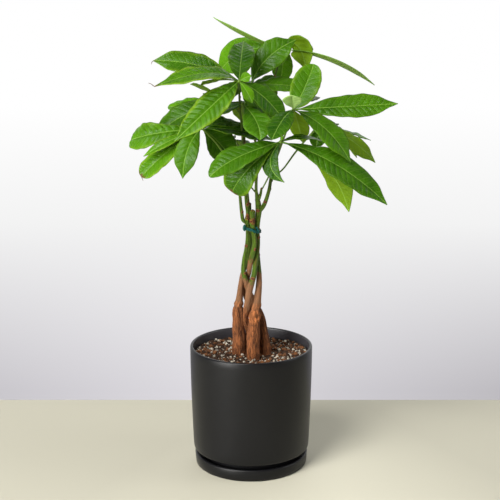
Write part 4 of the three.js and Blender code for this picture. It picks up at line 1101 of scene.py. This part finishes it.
def make_leaf(name, leaves, materials):
    """A whole leaf: its stalk, the knot where the leaflets meet, and the leaflets."""
    leaf = LEAVES[name]
    hub = Vector(leaf["petiole"][-1])
    whole, _ = new_bmesh(LEAF_MASKS)
    stalk = [(*p, PETIOLE_RADIUS) for p in leaf["petiole"]]
    add_tube(whole, smooth_path(stalk, STALK_GAP), STALK_SIDES,
             lambda vertex, angle, length, point: 0.25 * smoothstep(length, 0, 60) - 0.1)
    bmesh.ops.create_icosphere(whole, subdivisions=3, radius=HUB_RADIUS,
                               matrix=Matrix.Translation(hub), calc_uvs=True)
    for face in whole.faces:
        face.material_index = STALK
    for number, spec in enumerate(leaf["leaflets"]):
        part, layers = new_bmesh(LEAF_MASKS)
        add_blade(part, hub, spec, leaves, layers, number + len(name))
        if spec["thread"]:
            count = len(part.faces)
            add_thread(part, hub + Vector(spec["tip"]), spec["thread"])
            part.faces.ensure_lookup_table()
            for face in part.faces[count:]:
                for vertex in face.verts:
                    vertex[layers["dry"]] = 1
        join(whole, part)
        part.free()
    bmesh.ops.recalc_face_normals(whole, faces=whole.faces)
    title = "Leaf_" + name.removeprefix("leaf_")
    finish_piece(whole, title, materials, [name])


# ---------- studio ----------

CAMERA_PLACE = (0, -1.368, 0.599)
CAMERA_PITCH = 13.36  # degrees below level
FOCAL_PIXELS = 1150  # focal length in pixels of the photo
CENTRE_COLUMN = 251.2  # the photo's column that the camera faces
SENSOR = 36
WALL_PLACE = 3.4  # the wall stands far behind, so that every view of the plant is free
ROOM_LIGHT = 0.25  # strength of the light that comes from all around
ROOM_SEEN = 0.85  # brightness of the room where the camera sees it


def add_light(name, place, aim, size, power, colour, spread=180):
    """An area light that the camera doesn't see, aimed at a point; spread is in degrees."""
    light = bpy.data.lights.new(name, "AREA")
    light.shape = "RECTANGLE"
    light.size, light.size_y = size
    light.energy = power
    light.spread = math.radians(spread)
    light.color = colour
    lamp = bpy.data.objects.new(name, light)
    lamp.location = place
    lamp.rotation_euler = (Vector(aim) - Vector(place)).to_track_quat("-Z", "Y").to_euler()
    lamp.visible_camera = False
    bpy.context.collection.objects.link(lamp)


def add_slab(name, low, high, material):
    """A plain slab of the studio, from its lowest to its highest corner in metres."""
    bm = bmesh.new()
    bmesh.ops.create_cube(bm, size=1, calc_uvs=True)
    low, high = Vector(low), Vector(high)
    bmesh.ops.scale(bm, vec=high - low, verts=bm.verts)
    bmesh.ops.translate(bm, vec=(low + high) / 2, verts=bm.verts)
    slab = add_object(bm, name, [material])


def make_stage(stage):
    """The table, the far wall, the room's light, four lamps and the photo's camera."""
    add_slab("Table", (-2.5, -2.5, -0.04), (2.5, stage.table_edge, 0), table_material(stage))
    add_slab("Wall", (-6, WALL_PLACE, -2.5), (6, WALL_PLACE + 0.1, 4), wall_material(stage))
    world = bpy.data.worlds.new("Pale studio")
    world.use_nodes = True
    tree = world.node_tree
    tree.nodes.clear()
    seen = add_node(tree, "LightPath", out="Is Camera Ray")
    strength = add_node(tree, "MapRange", {"Value": seen, "To Min": ROOM_LIGHT, "To Max": ROOM_SEEN})
    sky = add_node(tree, "Background", {"Color": (1, 1, 1, 1), "Strength": strength})
    add_node(tree, "OutputWorld", {"Surface": sky})
    bpy.context.scene.world = world
    aim = (0, 0, 0.3)
    add_light("Key", (-1.0, -1.5, 2.0), aim, (1.0, 1.0), 57, (1, 0.99, 0.97))
    add_light("Side", (-1.3, -1.3, 0.4), aim, (1.1, 0.7), 11, (1, 0.99, 0.97), 90)
    add_light("Fill", (2.0, -0.2, 1.0), aim, (0.8, 1.2), 11, (0.98, 0.99, 1))
    add_light("Back", (0.5, 1.8, 1.7), aim, (1.6, 1.2), 8, (1, 1, 1))
    lens = bpy.data.cameras.new("Camera")
    lens.sensor_width = SENSOR
    lens.lens = FOCAL_PIXELS / PHOTO_SIZE * SENSOR
    lens.shift_x = (PHOTO_SIZE / 2 - CENTRE_COLUMN) / PHOTO_SIZE
    camera = bpy.data.objects.new("Camera", lens)
    camera.location = CAMERA_PLACE
    camera.rotation_euler = (math.radians(90 - CAMERA_PITCH), 0, 0)
    bpy.context.collection.objects.link(camera)
    bpy.context.scene.camera = camera
    bpy.context.scene.view_settings.view_transform = "Standard"


# ---------- operators and panel ----------


class MONEYTREE_OT_saucer(Operator):
    """Add the saucer"""
    bl_idname = "money_tree.saucer"
    bl_label = "Saucer"

    def execute(self, context):
        make_saucer(context.scene.money_tree_pot)
        return {"FINISHED"}


class MONEYTREE_OT_pot(Operator):
    """Add the matte black pot"""
    bl_idname = "money_tree.pot"
    bl_label = "Pot"

    def execute(self, context):
        make_pot(context.scene.money_tree_pot)
        return {"FINISHED"}


class MONEYTREE_OT_soil(Operator):
    """Add the potting mix with its crumbs, bark chips and perlite"""
    bl_idname = "money_tree.soil"
    bl_label = "Soil"

    def execute(self, context):
        pot, soil = context.scene.money_tree_pot, context.scene.money_tree_soil
        make_soil(pot, soil)
        scatter(soil, pot, 3, soil.crumbs, (1.2, 3.6), 0.7, 0.3, "Peat_crumbs",
                grain_material("Peat crumbs", soil.peat, 0.55, 160, 0.95))
        scatter(soil, pot, 5, soil.chips, (2.5, 8.5), 0.45, 0.5, "Bark_chips",
                grain_material("Fine bark chips", soil.chip, 0.45, 130, 0.85))
        scatter(soil, pot, 8, soil.grains, (1.2, 5), 0.8, 0.45, "Perlite",
                grain_material("Perlite grains", soil.perlite, 0.55, 140, 0.9))
        return {"FINISHED"}


class MONEYTREE_OT_stems(Operator):
    """Add the five braided stems"""
    bl_idname = "money_tree.stems"
    bl_label = "Stems"

    def execute(self, context):
        settings = context.scene.money_tree_stems
        material = bark_material(settings)
        for seed, name in enumerate(STEMS):
            make_stem(name, settings, material, seed)
        return {"FINISHED"}


class MONEYTREE_OT_tie(Operator):
    """Add the tie that holds the stems together"""
    bl_idname = "money_tree.tie"
    bl_label = "Tie"

    def execute(self, context):
        make_tie(context.scene.money_tree_stems)
        return {"FINISHED"}


class MONEYTREE_OT_leaves(Operator):
    """Add the leaves, each a fan of leaflets on its stalk"""
    bl_idname = "money_tree.leaves"
    bl_label = "Leaves"

    def execute(self, context):
        leaves = context.scene.money_tree_leaves
        materials = [leaf_material(leaves, "Glossy leaf", True),
                     leaf_material(leaves, "Dull leaf underside", False),
                     stalk_material(context.scene.money_tree_stems)]
        for name in LEAVES:
            make_leaf(name, leaves, materials)
        return {"FINISHED"}


class MONEYTREE_OT_stage(Operator):
    """Add the table, the wall, the lights and the camera"""
    bl_idname = "money_tree.stage"
    bl_label = "Studio"

    def execute(self, context):
        make_stage(context.scene.money_tree_stage)
        return {"FINISHED"}


class MONEYTREE_PT_panel(Panel):
    """Lists the steps that build the plant"""
    bl_label = "Money Tree"
    bl_space_type = "VIEW_3D"
    bl_region_type = "UI"
    bl_category = "Money Tree"

    def draw(self, context):
        for step in STEPS:
            self.layout.operator("money_tree." + step)
        for group in SETTINGS:
            box = self.layout.box()
            settings = getattr(context.scene, group)
            for name in settings.__annotations__:
                box.prop(settings, name)


STEPS = ("saucer", "pot", "soil", "stems", "tie", "leaves", "stage")
SETTINGS = {
    "money_tree_pot": PotSettings,
    "money_tree_soil": SoilSettings,
    "money_tree_stems": StemSettings,
    "money_tree_leaves": LeafSettings,
    "money_tree_stage": SceneSettings,
}
CLASSES = (
    *SETTINGS.values(), MONEYTREE_OT_saucer, MONEYTREE_OT_pot, MONEYTREE_OT_soil,
    MONEYTREE_OT_stems, MONEYTREE_OT_tie, MONEYTREE_OT_leaves, MONEYTREE_OT_stage,
    MONEYTREE_PT_panel,
)


def register():
    for item in CLASSES:
        bpy.utils.register_class(item)
    for name, group in SETTINGS.items():
        setattr(bpy.types.Scene, name, PointerProperty(type=group))


def unregister():
    for name in SETTINGS:
        delattr(bpy.types.Scene, name)
    for item in reversed(CLASSES):
        bpy.utils.unregister_class(item)


def main():
    register()
    for step in STEPS:
        getattr(bpy.ops.money_tree, step)()
    bpy.context.view_layer.update()


if __name__ == "__main__":
    main()
